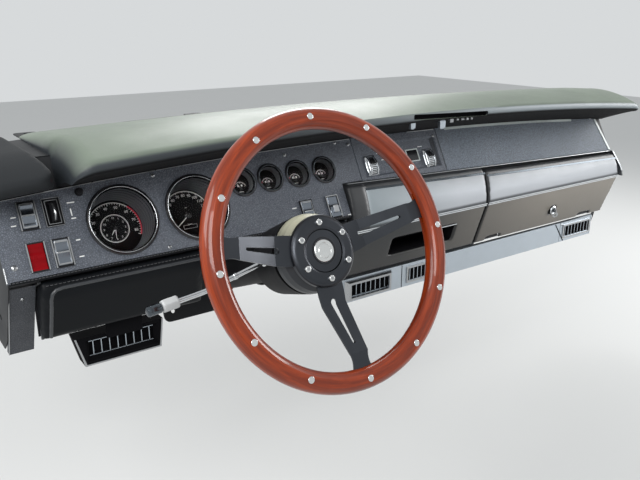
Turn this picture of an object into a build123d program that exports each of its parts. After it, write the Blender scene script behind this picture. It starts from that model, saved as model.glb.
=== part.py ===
from build123d import *
import os
from math import cos, radians, sin

# Dashboard with steering column and wheel, in millimetres.
# X runs to the passenger's side, Y to the front of the car and Z up.
# The origin lies midway between the two outer cowl screws, on top of the steel top sheet.

# Dashboard
dash_width = 1440
sheet = 1.8
seat_gap = 0.2
seam_gap = 1.5
moving_gap = 5
end_x = dash_width / 2
frame_x = end_x - 3

# Instrument panel plane: it passes through this point and leans forward at the top
panel_lean = 28.6
panel_y = -299
panel_z = -128
panel_thickness = 3
crown_height = 116
crown_drop = 29.4
cluster_bottom = -31
cluster_right_x = -121
divider_x = -73
heater_right_x = 150
panel_foot = 4
panel_right_low = end_x - 4
panel_right_high = end_x - 23
panel_window_left = -end_x + 24
panel_window_margin = 6
panel_window_foot = 36
lean_cos = cos(radians(panel_lean))
lean_sin = sin(radians(panel_lean))

# Instruments: place across the dash, height up the panel
large_gauge_diameter = 112
small_gauge_diameter = 52
large_gauges = ((-538, 33), (-413, 33))
small_gauges_at = ((-322, 63), (-267, 63), (-209.5, 63), (-152, 63))
gauge_ring_width = 5
gauge_ring_height = 3
gauge_ring_bevel = 1.2
large_can_depth = 62
small_can_depth = 48
can_wall = 2
large_dial_recess = 50
small_dial_recess = 24
dial_wall_taper = 5
needle_hub = 0.09
needle_hub_height = 3
lens_thickness = 1.6

# Switches: place across the dash, height up the panel
switch_width = 26
switch_height = 43
switch_depth = 22
switch_bezel = 2
switch_well = 8
switch_play = 5
cap_thickness = 12
lamp_thickness = 9
dimmer_radius = 15
dimmer_width = 8
rocker_switches = ((-671, 60.5), (-636.5, -0.5), (-211, -8.5), (-154, -8.5))
dimmer_at = (-636.5, 60.5)
lamp_at = (-671, -0.5)
trip_knob_at = (-593, 85)
trip_knob_diameter = 9

# Heater panel: a recess with sloping walls, two thumb slides and a small window
heater_recess = 4
heater_centre = (40, 67.5)
heater_width = 192
heater_height = 57
heater_wall = 6
thumb_width = 24
thumb_height = 37
thumb_slot_depth = 20
thumbs_at = ((-38, 57), (113, 54))
window_width = 32
window_height = 26
window_edge = 2
window_at = (72, 66)

# Bright trims
trim_thickness = 1.2
end_trim_width = 6
top_trim_left = heater_right_x + 25
top_trim_right = panel_right_high - 97
top_trim_height = 5
strip_width = 3.5
strip_drop = 8
strip_corner = 9
crease_bar = 2.2
crease_groove = 1.6

# Pad: sections at the middle and at the ends
pad_left_x = -end_x + 98
pad_right_x = end_x + 18
pad_corner = 26
pad_end_round = (32, 60)
pad_right_round = (40, 52)
pad_round_z = -28
pad_lip_y = -350
pad_crest_y = -220
pad_mid_z = 40
pad_end_z = 19.6
pad_mid_lip = 30
pad_end_lip = 41.7
pad_lip_rise = 17
pad_lip_bulge = 5
pad_mid_front = 50
pad_end_front = -78
pad_edge = 3
pad_end_edge = 8
brow_slot = (100, -343, 13)
brow_slot_length = 200
brow_slot_height = 14
brow_slot_depth = 7
cap_left_x = -end_x - 15
cap_right_x = -end_x + 80
cap_drop = 12
cap_setback = 22

# Cowl screws and the slots for demister air
cowl_screw_x = 600
cowl_inner_x = 250
cowl_inner_y = 62
cowl_hole = 8
lug_width = 38
lug_reach = 15
lug_root = 90
lug_inner_root = 70
lug_corner = 8
air_slot_x = 330
air_slot_y = -40
air_slot_length = 230
air_slot_width = 22

# End plates
end_bolt_y = -215
end_bolt_spacing = 160
end_bolt_z = -160
end_hole = 10
end_plate_top_y = -110
end_plate_low_y = (-170, -208)
end_plate_corners = ((-240, -270), (-300, -175))

# Padded roll, glovebox door and knee pads share one profile
roll_left_x = -118
roll_seam_x = 247
roll_top_left = -103.6
roll_fall = 0.0294
roll_proud = 6
roll_bulge = 5
roll_edge_round = 8
border_right_x = -80
border_proud = 4
border_foot_z = -178
crease_y = -317
crease_z = -186
lower_y = -284
lower_z = -288
back_y = -274.3
web_y = -274

cubby_left_x = -8
cubby_right_x = 168
cubby_top_z = -223
cubby_bottom_z = -262
cubby_depth = 120
cubby_wall = 2
cubby_inset = 4

knee_left_x = -end_x + 43.5
knee_right_x = -126
column_notch = 56
column_slot_top = -194
knee_top_z = -160.2
knee_top_y = -311
knee_back_z = -180.5
knee_low_z = -261
knee_low_y = -292.7
web_left_x = -end_x + 52
web_low_z = -256
block_left_x = -frame_x + sheet
block_right_x = -end_x + 41
block_front_y = -300
block_top_z = -168.5
block_back_z = -183
block_low_z = -299
block_low_y = -228

# Lower band and its vents
band_top_z = -296
band_bottom_z = -346
band_y = -280
band_left_x = -114
band_right_x = end_x - 22
band_seam_x = band_right_x - 130
band_thickness = 2
band_vents = ((-49, 106), (102, 96), (band_right_x - 62, 112))
vent_high = 36
vent_frame = 4
vent_frame_thickness = 2
bezel_flare = 7
bezel_reach = 9
vent_depth = 30
slat_count = 8
slat_thickness = 1.6
slat_depth = 5
driver_vent_x = -548
driver_vent_y = -262
driver_vent_z = -311
driver_vent_width = 108
driver_vent_high = 26
driver_vent_top_z = -286
driver_vent_bottom_z = -336
driver_vent_top = (-626, -479)
driver_vent_bottom = (-613, -485)
driver_vent_well = 10
driver_vent_edge = 2.5

# Glovebox
door_left_x = roll_seam_x + moving_gap
door_overhang = 16
door_slant = 22
door_tuck = 8
door_right_x = end_x + door_overhang
door_right_top = door_right_x - door_slant
door_right_low = door_right_x - door_tuck
door_top_drop = 5
door_skin = 1.5
cheek_gap = 5
cheek_thickness = 4
cheek_low_z = crease_z - 4
bin_depth = 170
bin_right_x = end_x - 30
bin_side_gap = 20
bin_flange = 5
bin_centre_z = -197
bin_height = 106
bin_wall = 3
bin_taper = 4
lock_x = 505
lock_diameter = 22
lock_z = -248
lock_stand = 3
hinge_y = -280
hinge_z = -283
hinge_pin_radius = 2
hinge_clearance = 0.06
hinge_tube_radius = 3.2
hinge_notch_half = 26
hinge_notch_top = -274
hinge_notch_front = -284.2
hinge_slot_top = -272
hinge_slot_bottom = -295
hinge_leaf_top = -256
hinge_leaf = 6
hinges_x = (door_left_x + 58, door_right_x - 86)
hinge_knuckle = 20
fixed_knuckle = 10

# Column and steering wheel, along the column from the wheel's rivets
column_x = -363
column_rake = 23
wheel_y = -600
wheel_z = -90
wheel_diameter = 380
rim_diameter = 29
rim_setback = 14
plate_thickness = 3
plate_width = 14
plate_inner_radius = (wheel_diameter - rim_diameter - plate_width) / 2
plate_outer_radius = plate_inner_radius + plate_width
hub_setback = 45
hub_radius = 50
rivet_count = 12
rivet_head = 9
rivet_pocket = 2
rim_flat_half = 5.2
rivet_stand = 0.7
spoke_angles = (10.5, 169.5, 270)
spoke_root_half = 20.7
spoke_waist_half = 14
spoke_flare_half = 22
spoke_start = 30
spoke_straight = 60
spoke_bend_inner = 74
spoke_flare_length = 27.5
spoke_bend_outer = plate_inner_radius - spoke_flare_length
spoke_flare_arc = 30
spoke_slot_start = 71
spoke_slot_end = spoke_bend_outer - 15
spoke_slot_wide = 4.5
spoke_slot_narrow = 2.2
hub_bolt_circle = 77.5
hub_bolt_count = 6
hub_bolt_head = 9
hub_bolt_height = 3
hub_ring_inner = 30
hub_ring_thickness = 7
horn_radius = 29.4
horn_thickness = 5
shaft_radius = 9.5
shaft_clearance = 0.06
shaft_end_radius = 9
shaft_step = 560
shaft_end = 600
adapter_end = 78
adapter_radius = 56
adapter_wall = 4
adapter_boss = 18
housing_start = adapter_end + moving_gap + 1
housing_shoulder = 100
housing_waist = 148
housing_end = 176
housing_radius = 56
housing_wall = 3.5
jacket_radius = 27
jacket_wall = 2.5
jacket_start = 168
jacket_end = 560
bearing_length = 12
toe_plate_at = 520
toe_plate_size = 130
toe_plate_thickness = 3
toe_bolt_circle = 130
toe_hole = 8
bracket_at = 372
bracket_length = 36
bracket_wall = 5
bracket_flange = 32
bracket_top_z = -190
bracket_low_z = -252
lever_at = 110
lever_root = (-50, 5)
lever_bend = (-152, -17.3)
lever_tip = (-234.3, -25.5)
lever_radius = 3.7
lever_boss_radius = 7
lever_collar_radius = 9.3
lever_collar_length = 23
lever_barrel_radius = 7
lever_barrel_length = 20

panel_plane = Plane(origin=(0, panel_y, panel_z), x_dir=(1, 0, 0), z_dir=(0, -lean_cos, lean_sin))
wheel_plane = Plane(
    origin=(column_x, wheel_y, wheel_z),
    x_dir=(1, 0, 0),
    z_dir=(0, -cos(radians(column_rake)), sin(radians(column_rake))),
)


def on_panel(height, behind=0):
    """The Y and Z of a point at this height up the panel and this far behind its face."""
    y = panel_y + height * lean_sin + behind * lean_cos
    z = panel_z + height * lean_cos - behind * lean_sin
    return y, z


def crown(x):
    """The height of the panel's top edge, which drops towards both ends."""
    return crown_height - crown_drop * (x / end_x) ** 2


def roll_top(x):
    """The Z of the padded roll's top edge, which falls towards the passenger's end."""
    return roll_top_left - roll_fall * (x - roll_left_x)


def roll_height(x):
    """The height up the panel of the padded roll's top edge."""
    return (roll_top(x) - panel_z) / lean_cos


def foot(x):
    """The height up the panel of the lower edge of the heater's and passenger's panels."""
    return roll_height(x) + panel_foot


def face_y(z):
    """The Y of the padded face at a height below its crease."""
    return crease_y + (crease_z - z) * (lower_y - crease_y) / (crease_z - lower_z)


def save(part, name):
    """Label one finished piece and write it out."""
    part.label = name
    export_step(part, "parts/" + name + ".step")


os.makedirs("parts", exist_ok=True)

# Steel frame: leaning face sheet, top sheet with lugs, shelves, web and end plates
face_offset = panel_thickness + seat_gap
fold_height = (lean_sin * face_offset - panel_z) / lean_cos
fold_y = on_panel(fold_height, face_offset)[0]
shelf_height = cluster_bottom - 0.6
sheet_back_drop = (face_offset + sheet) * lean_sin
web_back = web_y + sheet
shelf_back_z = on_panel(shelf_height, (web_back - on_panel(shelf_height)[0]) / lean_cos)[1]
door_centre_x = (door_left_x + bin_right_x) / 2
bin_width = bin_right_x - door_left_x - 2 * bin_side_gap
cluster_middle = (divider_x - end_x) / 2
hole_pitch = (frame_x - heater_right_x) / 3


def sheet_height(x):
    """The height at which the face sheet ends above the padded roll."""
    return roll_height(x) + (sheet_back_drop + seat_gap) / lean_cos


with BuildPart() as face_sheet:
    with BuildSketch(panel_plane.offset(-face_offset)):
        with BuildLine():
            Polyline(
                (-frame_x, shelf_height),
                (-frame_x, fold_height),
                (frame_x, fold_height),
                (frame_x, sheet_height(frame_x)),
                (roll_left_x, sheet_height(roll_left_x)),
                (roll_left_x, shelf_height),
                close=True,
            )
        make_face()
        with BuildLine(mode=Mode.PRIVATE) as window:
            Polyline(
                (panel_window_left, cluster_bottom - 3),
                (panel_window_left, crown(panel_window_left) - panel_window_margin),
                (cluster_middle, crown(cluster_middle) - panel_window_margin),
                (divider_x - 23, crown(divider_x) - panel_window_margin),
                (divider_x - 23, panel_window_foot),
                (cluster_right_x - 9, panel_window_foot),
                (cluster_right_x - 9, cluster_bottom - 3),
                close=True,
            )
        make_face(window.edges(), mode=Mode.SUBTRACT)
        with Locations(heater_centre):
            Rectangle(heater_width + 2 * heater_wall + 5, heater_height + 2 * heater_wall + 5, mode=Mode.SUBTRACT)
        for step in range(3):
            with Locations((heater_right_x + (step + 0.5) * hole_pitch, 56 - 4 * step)):
                RectangleRounded(hole_pitch - 50, 46, 10, mode=Mode.SUBTRACT)
    extrude(amount=-sheet)
    split(bisect_by=Plane.XY.offset(-sheet - 0.01), keep=Keep.BOTTOM)
save(face_sheet.part, "face_sheet")

with BuildPart() as top_sheet:
    with BuildSketch(Plane.XY):
        with BuildLine():
            Line((-frame_x, fold_y), (frame_x, fold_y))
            Line((frame_x, fold_y), (frame_x, pad_end_front - 12))
            ThreePointArc((frame_x, pad_end_front - 12), (0, pad_mid_front - 12), (-frame_x, pad_end_front - 12))
            Line((-frame_x, pad_end_front - 12), (-frame_x, fold_y))
        make_face()
        for side in (-1, 1):
            with Locations((side * cowl_screw_x, (lug_reach - lug_root) / 2)):
                RectangleRounded(lug_width, lug_reach + lug_root, lug_corner)
            with Locations((side * cowl_inner_x, cowl_inner_y + (lug_reach - lug_inner_root) / 2)):
                RectangleRounded(lug_width, lug_reach + lug_inner_root, lug_corner)
            with Locations((side * cowl_screw_x, 0), (side * cowl_inner_x, cowl_inner_y)):
                Circle(cowl_hole / 2, mode=Mode.SUBTRACT)
            with Locations((side * air_slot_x, air_slot_y)):
                SlotOverall(air_slot_length, air_slot_width, mode=Mode.SUBTRACT)
    extrude(amount=-sheet)
save(top_sheet.part, "top_sheet")

# Shelf under the instruments and sloping shelf over the padded roll
with BuildPart() as frame_shelves:
    with BuildSketch(Plane.YZ.offset(-frame_x + sheet)):
        with BuildLine():
            Polyline(
                on_panel(shelf_height, face_offset + sheet + 0.01),
                (web_back, shelf_back_z),
                (web_back, shelf_back_z - sheet / lean_cos),
                on_panel(shelf_height - sheet, face_offset + sheet + 0.01),
                close=True,
            )
        make_face()
    extrude(amount=roll_left_x + frame_x - sheet)
with BuildPart() as roll_shelf:
    with BuildSketch(Plane.XZ.offset(-web_back)):
        with BuildLine():
            Polyline(
                (roll_left_x, roll_top(roll_left_x) + seat_gap),
                (frame_x - sheet, roll_top(frame_x) + seat_gap),
                (frame_x - sheet, roll_top(frame_x) + seat_gap + sheet),
                (roll_left_x, roll_top(roll_left_x) + seat_gap + sheet),
                close=True,
            )
        make_face()
    extrude(amount=60)
    split(bisect_by=panel_plane.offset(-face_offset - sheet - 0.01), keep=Keep.BOTTOM)
with frame_shelves:
    add(roll_shelf.part)
save(frame_shelves.part, "frame_shelves")

# Upright web behind the pads, with openings for column, cubby, glovebox and door hinges
with BuildPart() as frame_web:
    with BuildSketch(Plane.XZ.offset(-web_back)):
        with BuildLine():
            Polyline(
                (web_left_x, shelf_back_z - sheet / lean_cos - 0.01),
                (web_left_x, web_low_z),
                (band_left_x, web_low_z),
                (band_left_x, band_bottom_z + 4),
                (band_right_x, band_bottom_z + 4),
                (frame_x, band_top_z),
                (frame_x, cheek_low_z - 30),
                (door_right_x + cheek_gap + cheek_thickness, cheek_low_z),
                (frame_x + 3, roll_top(frame_x)),
                (roll_left_x, roll_top(roll_left_x)),
                (roll_left_x, shelf_back_z - sheet / lean_cos - 0.01),
                close=True,
            )
        make_face()
        with Locations((column_x, column_slot_top - 50)):
            Rectangle(2 * jacket_radius + 34, 100, mode=Mode.SUBTRACT)
        with Locations(((cubby_left_x + cubby_right_x) / 2, (cubby_top_z + cubby_bottom_z) / 2)):
            Rectangle(
                cubby_right_x - cubby_left_x + 2 * seat_gap,
                cubby_top_z - cubby_bottom_z + 2 * seat_gap,
                mode=Mode.SUBTRACT,
            )
        with Locations((door_centre_x, bin_centre_z)):
            Rectangle(bin_width, bin_height, mode=Mode.SUBTRACT)
        with Locations(((door_left_x + frame_x) / 2, (hinge_slot_top + hinge_slot_bottom) / 2)):
            Rectangle(frame_x - door_left_x - 20, hinge_slot_top - hinge_slot_bottom, mode=Mode.SUBTRACT)
        for x, width in band_vents:
            with Locations((x, (band_top_z + band_bottom_z) / 2)):
                Rectangle(width - 2 * vent_frame, vent_high - 2 * vent_frame, mode=Mode.SUBTRACT)
    extrude(amount=sheet)
save(frame_web.part, "frame_web")

# End plates with their bolt holes
with BuildPart() as end_plates:
    for side, low_height, front in (
        (-1, shelf_height, end_plate_corners),
        (1, sheet_height(frame_x), ((web_back + 0.01, -180), (web_back + 0.01, roll_top(frame_x) + seat_gap))),
    ):
        with BuildSketch(Plane.YZ.offset(side * (frame_x - sheet / 2))):
            with BuildLine():
                Polyline(
                    (fold_y + 4, -sheet - 0.01),
                    (end_plate_top_y, -sheet - 0.01),
                    (end_plate_low_y[0], band_top_z),
                    (end_plate_low_y[1], band_top_z),
                    *front,
                    on_panel(low_height, face_offset + sheet + 0.01),
                    on_panel(fold_height - 5, face_offset + sheet + 0.01),
                    close=True,
                )
            make_face()
            with Locations((end_bolt_y, end_bolt_z + end_bolt_spacing / 2), (end_bolt_y, end_bolt_z - end_bolt_spacing / 2)):
                Circle(end_hole / 2, mode=Mode.SUBTRACT)
        extrude(amount=sheet / 2, both=True)
save(end_plates.part, "end_plates")

# Padded top, lofted through one middle section and two end sections


def pad_body(left_x, right_x, drop=0, setback=0):
    """The padded top between two places, lowered and set back for the corner cap."""
    with BuildPart() as body:
        for x, lip_z, crest_z, front_y, front_top in (
            (-end_x - 20, pad_end_z - pad_end_lip, pad_end_z, pad_end_front, pad_end_edge),
            (0, pad_mid_z - pad_mid_lip, pad_mid_z, pad_mid_front, pad_edge),
            (end_x + 20, pad_end_z - pad_end_lip, pad_end_z, pad_end_front, pad_end_edge),
        ):
            lip_y = pad_lip_y + setback
            lip_z = lip_z - drop
            crest_z = crest_z - drop
            panel_top = on_panel(crown(x) + 0.5)
            panel_back = on_panel(crown(x) + 0.5, panel_thickness)
            fold = on_panel(fold_height, face_offset - 0.1)[0]
            with BuildSketch(Plane.YZ.offset(x)):
                with BuildLine():
                    Line(panel_top, (lip_y, lip_z))
                    ThreePointArc((lip_y, lip_z), (lip_y - pad_lip_bulge, lip_z + 8), (lip_y - 2, lip_z + pad_lip_rise))
                    ThreePointArc(
                        (lip_y - 2, lip_z + pad_lip_rise),
                        (lip_y + 50, crest_z * 0.86 + lip_z * 0.14 + 1),
                        (pad_crest_y, crest_z),
                    )
                    Line((pad_crest_y, crest_z), (front_y, front_top))
                    Line((front_y, front_top), (front_y, 0.1))
                    Line((front_y, 0.1), (fold, 0.1))
                    Line((fold, 0.1), panel_back)
                    Line(panel_back, panel_top)
                make_face()
        loft()
        with BuildSketch(Plane.XY.offset(-60)):
            with Locations(((left_x + right_x) / 2, -130)):
                RectangleRounded(right_x - left_x, 2 * (-pad_lip_y - 130 + pad_lip_bulge - setback), pad_corner)
        extrude(amount=140, mode=Mode.INTERSECT)
        left_round, left_rise = pad_end_round
        right_round, right_rise = pad_right_round
        with BuildSketch(Plane.XZ):
            with BuildLine():
                Polyline((left_x, pad_round_z), (left_x, -160), (right_x, -160), (right_x, pad_round_z))
                ThreePointArc(
                    (right_x, pad_round_z),
                    (right_x - 0.29 * right_round, pad_round_z + 0.71 * right_rise),
                    (right_x - right_round, pad_round_z + right_rise),
                )
                Polyline(
                    (right_x - right_round, pad_round_z + right_rise),
                    (right_x - right_round, 60),
                    (left_x + left_round, 60),
                    (left_x + left_round, pad_round_z + left_rise),
                )
                ThreePointArc(
                    (left_x + left_round, pad_round_z + left_rise),
                    (left_x + 0.29 * left_round, pad_round_z + 0.71 * left_rise),
                    (left_x, pad_round_z),
                )
            make_face()
        extrude(amount=400, both=True, mode=Mode.INTERSECT)
    return body.part


with BuildPart() as dash_pad:
    add(pad_body(pad_left_x, pad_right_x))
    with BuildSketch(Plane.XY):
        for side in (-1, 1):
            with Locations((side * air_slot_x, air_slot_y)):
                SlotOverall(air_slot_length - 4, air_slot_width - 4)
    extrude(amount=60, mode=Mode.SUBTRACT)
    # lamp slot under the brow
    with BuildSketch(Plane(origin=brow_slot, x_dir=(1, 0, 0), z_dir=(0, -0.8, -0.6))):
        SlotOverall(brow_slot_length, brow_slot_height)
    extrude(amount=-brow_slot_depth, mode=Mode.SUBTRACT)
    with BuildSketch(Plane(origin=brow_slot, x_dir=(1, 0, 0), z_dir=(0, -0.8, -0.6))):
        SlotOverall(brow_slot_length, brow_slot_height)
    extrude(amount=20, mode=Mode.SUBTRACT)
save(dash_pad.part, "dash_pad")

with BuildPart() as pad_cap:
    add(pad_body(cap_left_x, cap_right_x, cap_drop, cap_setback))
save(pad_cap.part, "pad_cap")

# Driver's instrument panel
with BuildPart() as cluster_bezel:
    with BuildSketch(panel_plane):
        with BuildLine():
            Line((-end_x + 1, cluster_bottom), (-end_x + 1, crown(-end_x)))
            ThreePointArc(
                (-end_x + 1, crown(-end_x)),
                (cluster_middle, crown(cluster_middle)),
                (divider_x - seam_gap / 2, crown(divider_x)),
            )
            Polyline(
                (divider_x - seam_gap / 2, crown(divider_x)),
                (divider_x - seam_gap / 2, foot(roll_left_x)),
                (cluster_right_x, foot(roll_left_x)),
                (cluster_right_x, cluster_bottom),
                (-end_x + 1, cluster_bottom),
            )
        make_face()
        with Locations(*large_gauges):
            Circle(large_gauge_diameter / 2 - gauge_ring_width + 0.5, mode=Mode.SUBTRACT)
        with Locations(*small_gauges_at):
            Circle(small_gauge_diameter / 2 - gauge_ring_width + 1.5, mode=Mode.SUBTRACT)
        with Locations(*rocker_switches, dimmer_at, lamp_at):
            Rectangle(switch_width - 2, switch_height - 2, mode=Mode.SUBTRACT)
        with Locations(trip_knob_at):
            Circle(trip_knob_diameter / 2 - 1.5, mode=Mode.SUBTRACT)
    extrude(amount=-panel_thickness)
save(cluster_bezel.part, "cluster_bezel")

# Gauges: a can behind the panel with a dished dial
for name, places, diameter, ring, depth, recess in (
    ("large_gauges", large_gauges, large_gauge_diameter, gauge_ring_width - 0.5, large_can_depth, large_dial_recess),
    ("small_gauges", small_gauges_at, small_gauge_diameter, gauge_ring_width - 1.5, small_can_depth, small_dial_recess),
):
    with BuildPart() as gauge:
        with BuildSketch(panel_plane):
            with Locations(*places):
                Circle(diameter / 2 - ring - seat_gap)
        extrude(amount=-depth)
        with BuildSketch(panel_plane):
            with Locations(*places):
                Circle(diameter / 2 - ring - seat_gap - can_wall)
        extrude(amount=-recess, taper=dial_wall_taper, mode=Mode.SUBTRACT)
        with BuildSketch(panel_plane.offset(-recess)):
            with Locations(*places):
                Circle(diameter * needle_hub / 2)
        extrude(amount=needle_hub_height)
    save(gauge.part, name)

with BuildPart() as gauge_rings:
    for places, diameter, width in (
        (large_gauges, large_gauge_diameter, gauge_ring_width),
        (small_gauges_at, small_gauge_diameter, gauge_ring_width - 1),
    ):
        with BuildSketch(panel_plane):
            with Locations(*places):
                Circle(diameter / 2)
                Circle(diameter / 2 - width, mode=Mode.SUBTRACT)
        extrude(amount=gauge_ring_height)
    chamfer(gauge_rings.edges().filter_by(GeomType.CIRCLE).group_by(Axis((0, 0, 0), panel_plane.z_dir))[-1], gauge_ring_bevel)
save(gauge_rings.part, "gauge_rings")

with BuildPart() as gauge_lenses:
    for places, diameter in (
        (large_gauges, large_gauge_diameter - 2 * gauge_ring_width),
        (small_gauges_at, small_gauge_diameter - 2 * gauge_ring_width + 2),
    ):
        with BuildSketch(panel_plane.offset(0.2)):
            with Locations(*places):
                Circle(diameter / 2 - seat_gap)
        extrude(amount=lens_thickness)
save(gauge_lenses.part, "gauge_lenses")

# Switches
with BuildPart() as switch_housings:
    with BuildSketch(panel_plane):
        with Locations(*rocker_switches, dimmer_at, lamp_at):
            Rectangle(switch_width, switch_height)
            Rectangle(switch_width - 2 * switch_bezel, switch_height - 2 * switch_bezel, mode=Mode.SUBTRACT)
    extrude(amount=switch_bezel)
    with BuildSketch(panel_plane):
        with Locations(*rocker_switches, dimmer_at, lamp_at):
            Rectangle(switch_width - 2.4, switch_height - 2.4)
    extrude(amount=-switch_depth)
    with BuildSketch(panel_plane):
        with Locations(*rocker_switches, dimmer_at, lamp_at):
            Rectangle(switch_width - 2 * switch_bezel, switch_height - 2 * switch_bezel)
    extrude(amount=-switch_well, mode=Mode.SUBTRACT)
save(switch_housings.part, "switch_housings")

with BuildPart() as rocker_caps:
    for x, height in rocker_switches:
        with BuildSketch(panel_plane.offset(-switch_well)):
            with Locations((x, height)):
                Rectangle(switch_width - switch_play, switch_height - switch_play)
        extrude(amount=cap_thickness)
save(rocker_caps.part, "rocker_caps")

with BuildPart() as dimmer_wheel:
    with BuildSketch(Plane.YZ.offset(dimmer_at[0])):
        with Locations(on_panel(dimmer_at[1], dimmer_width / 2)):
            Circle(dimmer_radius)
    extrude(amount=dimmer_width / 2, both=True)
    split(bisect_by=panel_plane.offset(-switch_well + seat_gap), keep=Keep.TOP)
save(dimmer_wheel.part, "dimmer_wheel")

with BuildPart() as brake_lamp:
    with BuildSketch(panel_plane.offset(-switch_well)):
        with Locations(lamp_at):
            Rectangle(switch_width - switch_play, switch_height - switch_play)
    extrude(amount=lamp_thickness)
save(brake_lamp.part, "brake_lamp")

# Heater panel, recessed inside a bevelled edge
with BuildPart() as heater_panel:
    with BuildSketch(panel_plane):
        with BuildLine():
            Polyline(
                (divider_x + seam_gap / 2, foot(divider_x)),
                (divider_x + seam_gap / 2, crown(divider_x)),
                (heater_right_x - seam_gap / 2, crown(heater_right_x)),
                (heater_right_x - seam_gap / 2, foot(heater_right_x)),
                close=True,
            )
        make_face()
    extrude(amount=-panel_thickness)
    with BuildSketch(panel_plane.offset(-panel_thickness - heater_recess)):
        with Locations(heater_centre):
            Rectangle(heater_width + 2 * heater_wall, heater_height + 2 * heater_wall)
    extrude(amount=panel_thickness + heater_recess)
    with BuildSketch(panel_plane.offset(-heater_recess)):
        with Locations(heater_centre):
            Rectangle(heater_width, heater_height)
    extrude(amount=heater_recess, taper=-45, mode=Mode.SUBTRACT)
    with BuildSketch(panel_plane):
        with Locations(*thumbs_at):
            Rectangle(thumb_width, thumb_height)
    extrude(amount=-thumb_slot_depth, mode=Mode.SUBTRACT)
save(heater_panel.part, "heater_panel")

with BuildPart() as heater_thumbs:
    with BuildSketch(panel_plane.offset(-heater_recess - panel_thickness)):
        with Locations(*thumbs_at):
            Rectangle(thumb_width - 1, thumb_height - 1)
    extrude(amount=panel_thickness + 2)
    with BuildSketch(panel_plane.offset(-heater_recess + 1.9)):
        with Locations(*thumbs_at):
            Rectangle(thumb_width - 8, thumb_height - 3)
    extrude(amount=4)
save(heater_thumbs.part, "heater_thumbs")

# Passenger's panel
panel_middle = (heater_right_x + panel_right_high) / 2
trim_middle = (top_trim_left + top_trim_right) / 2
with BuildPart() as passenger_panel:
    with BuildSketch(panel_plane):
        with BuildLine():
            Line((heater_right_x + seam_gap / 2, foot(heater_right_x)), (heater_right_x + seam_gap / 2, crown(heater_right_x)))
            ThreePointArc(
                (heater_right_x + seam_gap / 2, crown(heater_right_x)),
                (panel_middle, crown(panel_middle)),
                (panel_right_high, crown(panel_right_high)),
            )
            Polyline(
                (panel_right_high, crown(panel_right_high)),
                (panel_right_low, foot(panel_right_low)),
                (heater_right_x + seam_gap / 2, foot(heater_right_x)),
            )
        make_face()
    extrude(amount=-panel_thickness)
save(passenger_panel.part, "passenger_panel")

# Bright trims of the panels: right end, top edge and the heater's small window
with BuildPart() as panel_trims:
    with BuildSketch(panel_plane):
        with BuildLine():
            Polyline(
                (panel_right_low - end_trim_width - 1, foot(panel_right_low) + 1),
                (panel_right_low - 1, foot(panel_right_low) + 1),
                (panel_right_high - 1, crown(panel_right_high) - 1),
                (panel_right_high - end_trim_width - 1, crown(panel_right_high) - 1),
                close=True,
            )
        make_face()
        with BuildLine():
            Line((top_trim_left, crown(top_trim_left) - top_trim_height), (top_trim_left, crown(top_trim_left)))
            ThreePointArc(
                (top_trim_left, crown(top_trim_left)),
                (trim_middle, crown(trim_middle)),
                (top_trim_right, crown(top_trim_right)),
            )
            Line((top_trim_right, crown(top_trim_right)), (top_trim_right, crown(top_trim_right) - top_trim_height))
            ThreePointArc(
                (top_trim_right, crown(top_trim_right) - top_trim_height),
                (trim_middle, crown(trim_middle) - top_trim_height),
                (top_trim_left, crown(top_trim_left) - top_trim_height),
            )
        make_face()
    extrude(amount=trim_thickness)
    with BuildSketch(panel_plane.offset(-heater_recess)):
        with Locations(window_at):
            Rectangle(window_width, window_height)
            Rectangle(window_width - 2 * window_edge, window_height - 2 * window_edge, mode=Mode.SUBTRACT)
    extrude(amount=trim_thickness)
save(panel_trims.part, "panel_trims")

# Padded centre roll, with a raised border at its left end and the cubby's mouth


def padded_body(left_x, right_x, back, out=0):
    """The padded body between two places: a bowed face above the crease and a sloping one below."""
    with BuildPart() as body:
        for x in (left_x, right_x):
            top = roll_top(x)
            top_y = on_panel(roll_height(x))[0] - roll_proud - out
            bow = ((top_y + crease_y - out) / 2 - roll_bulge, (top + crease_z) / 2)
            with BuildSketch(Plane.YZ.offset(x)):
                with BuildLine():
                    Line((back, top), (top_y, top))
                    ThreePointArc((top_y, top), bow, (crease_y - out, crease_z))
                    Polyline((crease_y - out, crease_z), (lower_y - out, lower_z), (back, lower_z), (back, top))
                make_face()
        loft()
    return body.part


def band_between(left_x, right_x, upper_drop, lower_drop):
    """A tall block between two lines that run below the sloping top edge."""
    with BuildPart() as block:
        with BuildSketch(Plane.XZ.offset(200)):
            with BuildLine():
                Polyline(
                    (left_x, roll_top(left_x) - upper_drop),
                    (right_x, roll_top(right_x) - upper_drop),
                    (right_x, roll_top(right_x) - lower_drop),
                    (left_x, roll_top(left_x) - lower_drop),
                    close=True,
                )
            make_face()
        extrude(amount=200)
    return block.part


left_border = padded_body(roll_left_x, border_right_x, back_y, border_proud)
with BuildPart() as centre_roll:
    add(padded_body(roll_left_x, roll_seam_x, back_y))
    fillet(centre_roll.faces().sort_by(Axis.Z)[-1].edges().sort_by(Axis.Y)[0], roll_edge_round)
    with BuildPart(mode=Mode.PRIVATE) as border:
        add(left_border)
        split(bisect_by=Plane.XY.offset(border_foot_z), keep=Keep.TOP)
        fillet(border.faces().sort_by(Axis.Z)[-1].edges().sort_by(Axis.Y)[0], roll_edge_round)
    add(border.part)
    with BuildSketch(Plane.XZ.offset(-back_y)):
        with Locations(((cubby_left_x + cubby_right_x) / 2, (cubby_top_z + cubby_bottom_z) / 2)):
            Rectangle(
                cubby_right_x - cubby_left_x + 2 * seat_gap,
                cubby_top_z - cubby_bottom_z + 2 * seat_gap,
            )
    extrude(amount=100, mode=Mode.SUBTRACT)
save(centre_roll.part, "centre_roll")


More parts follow.
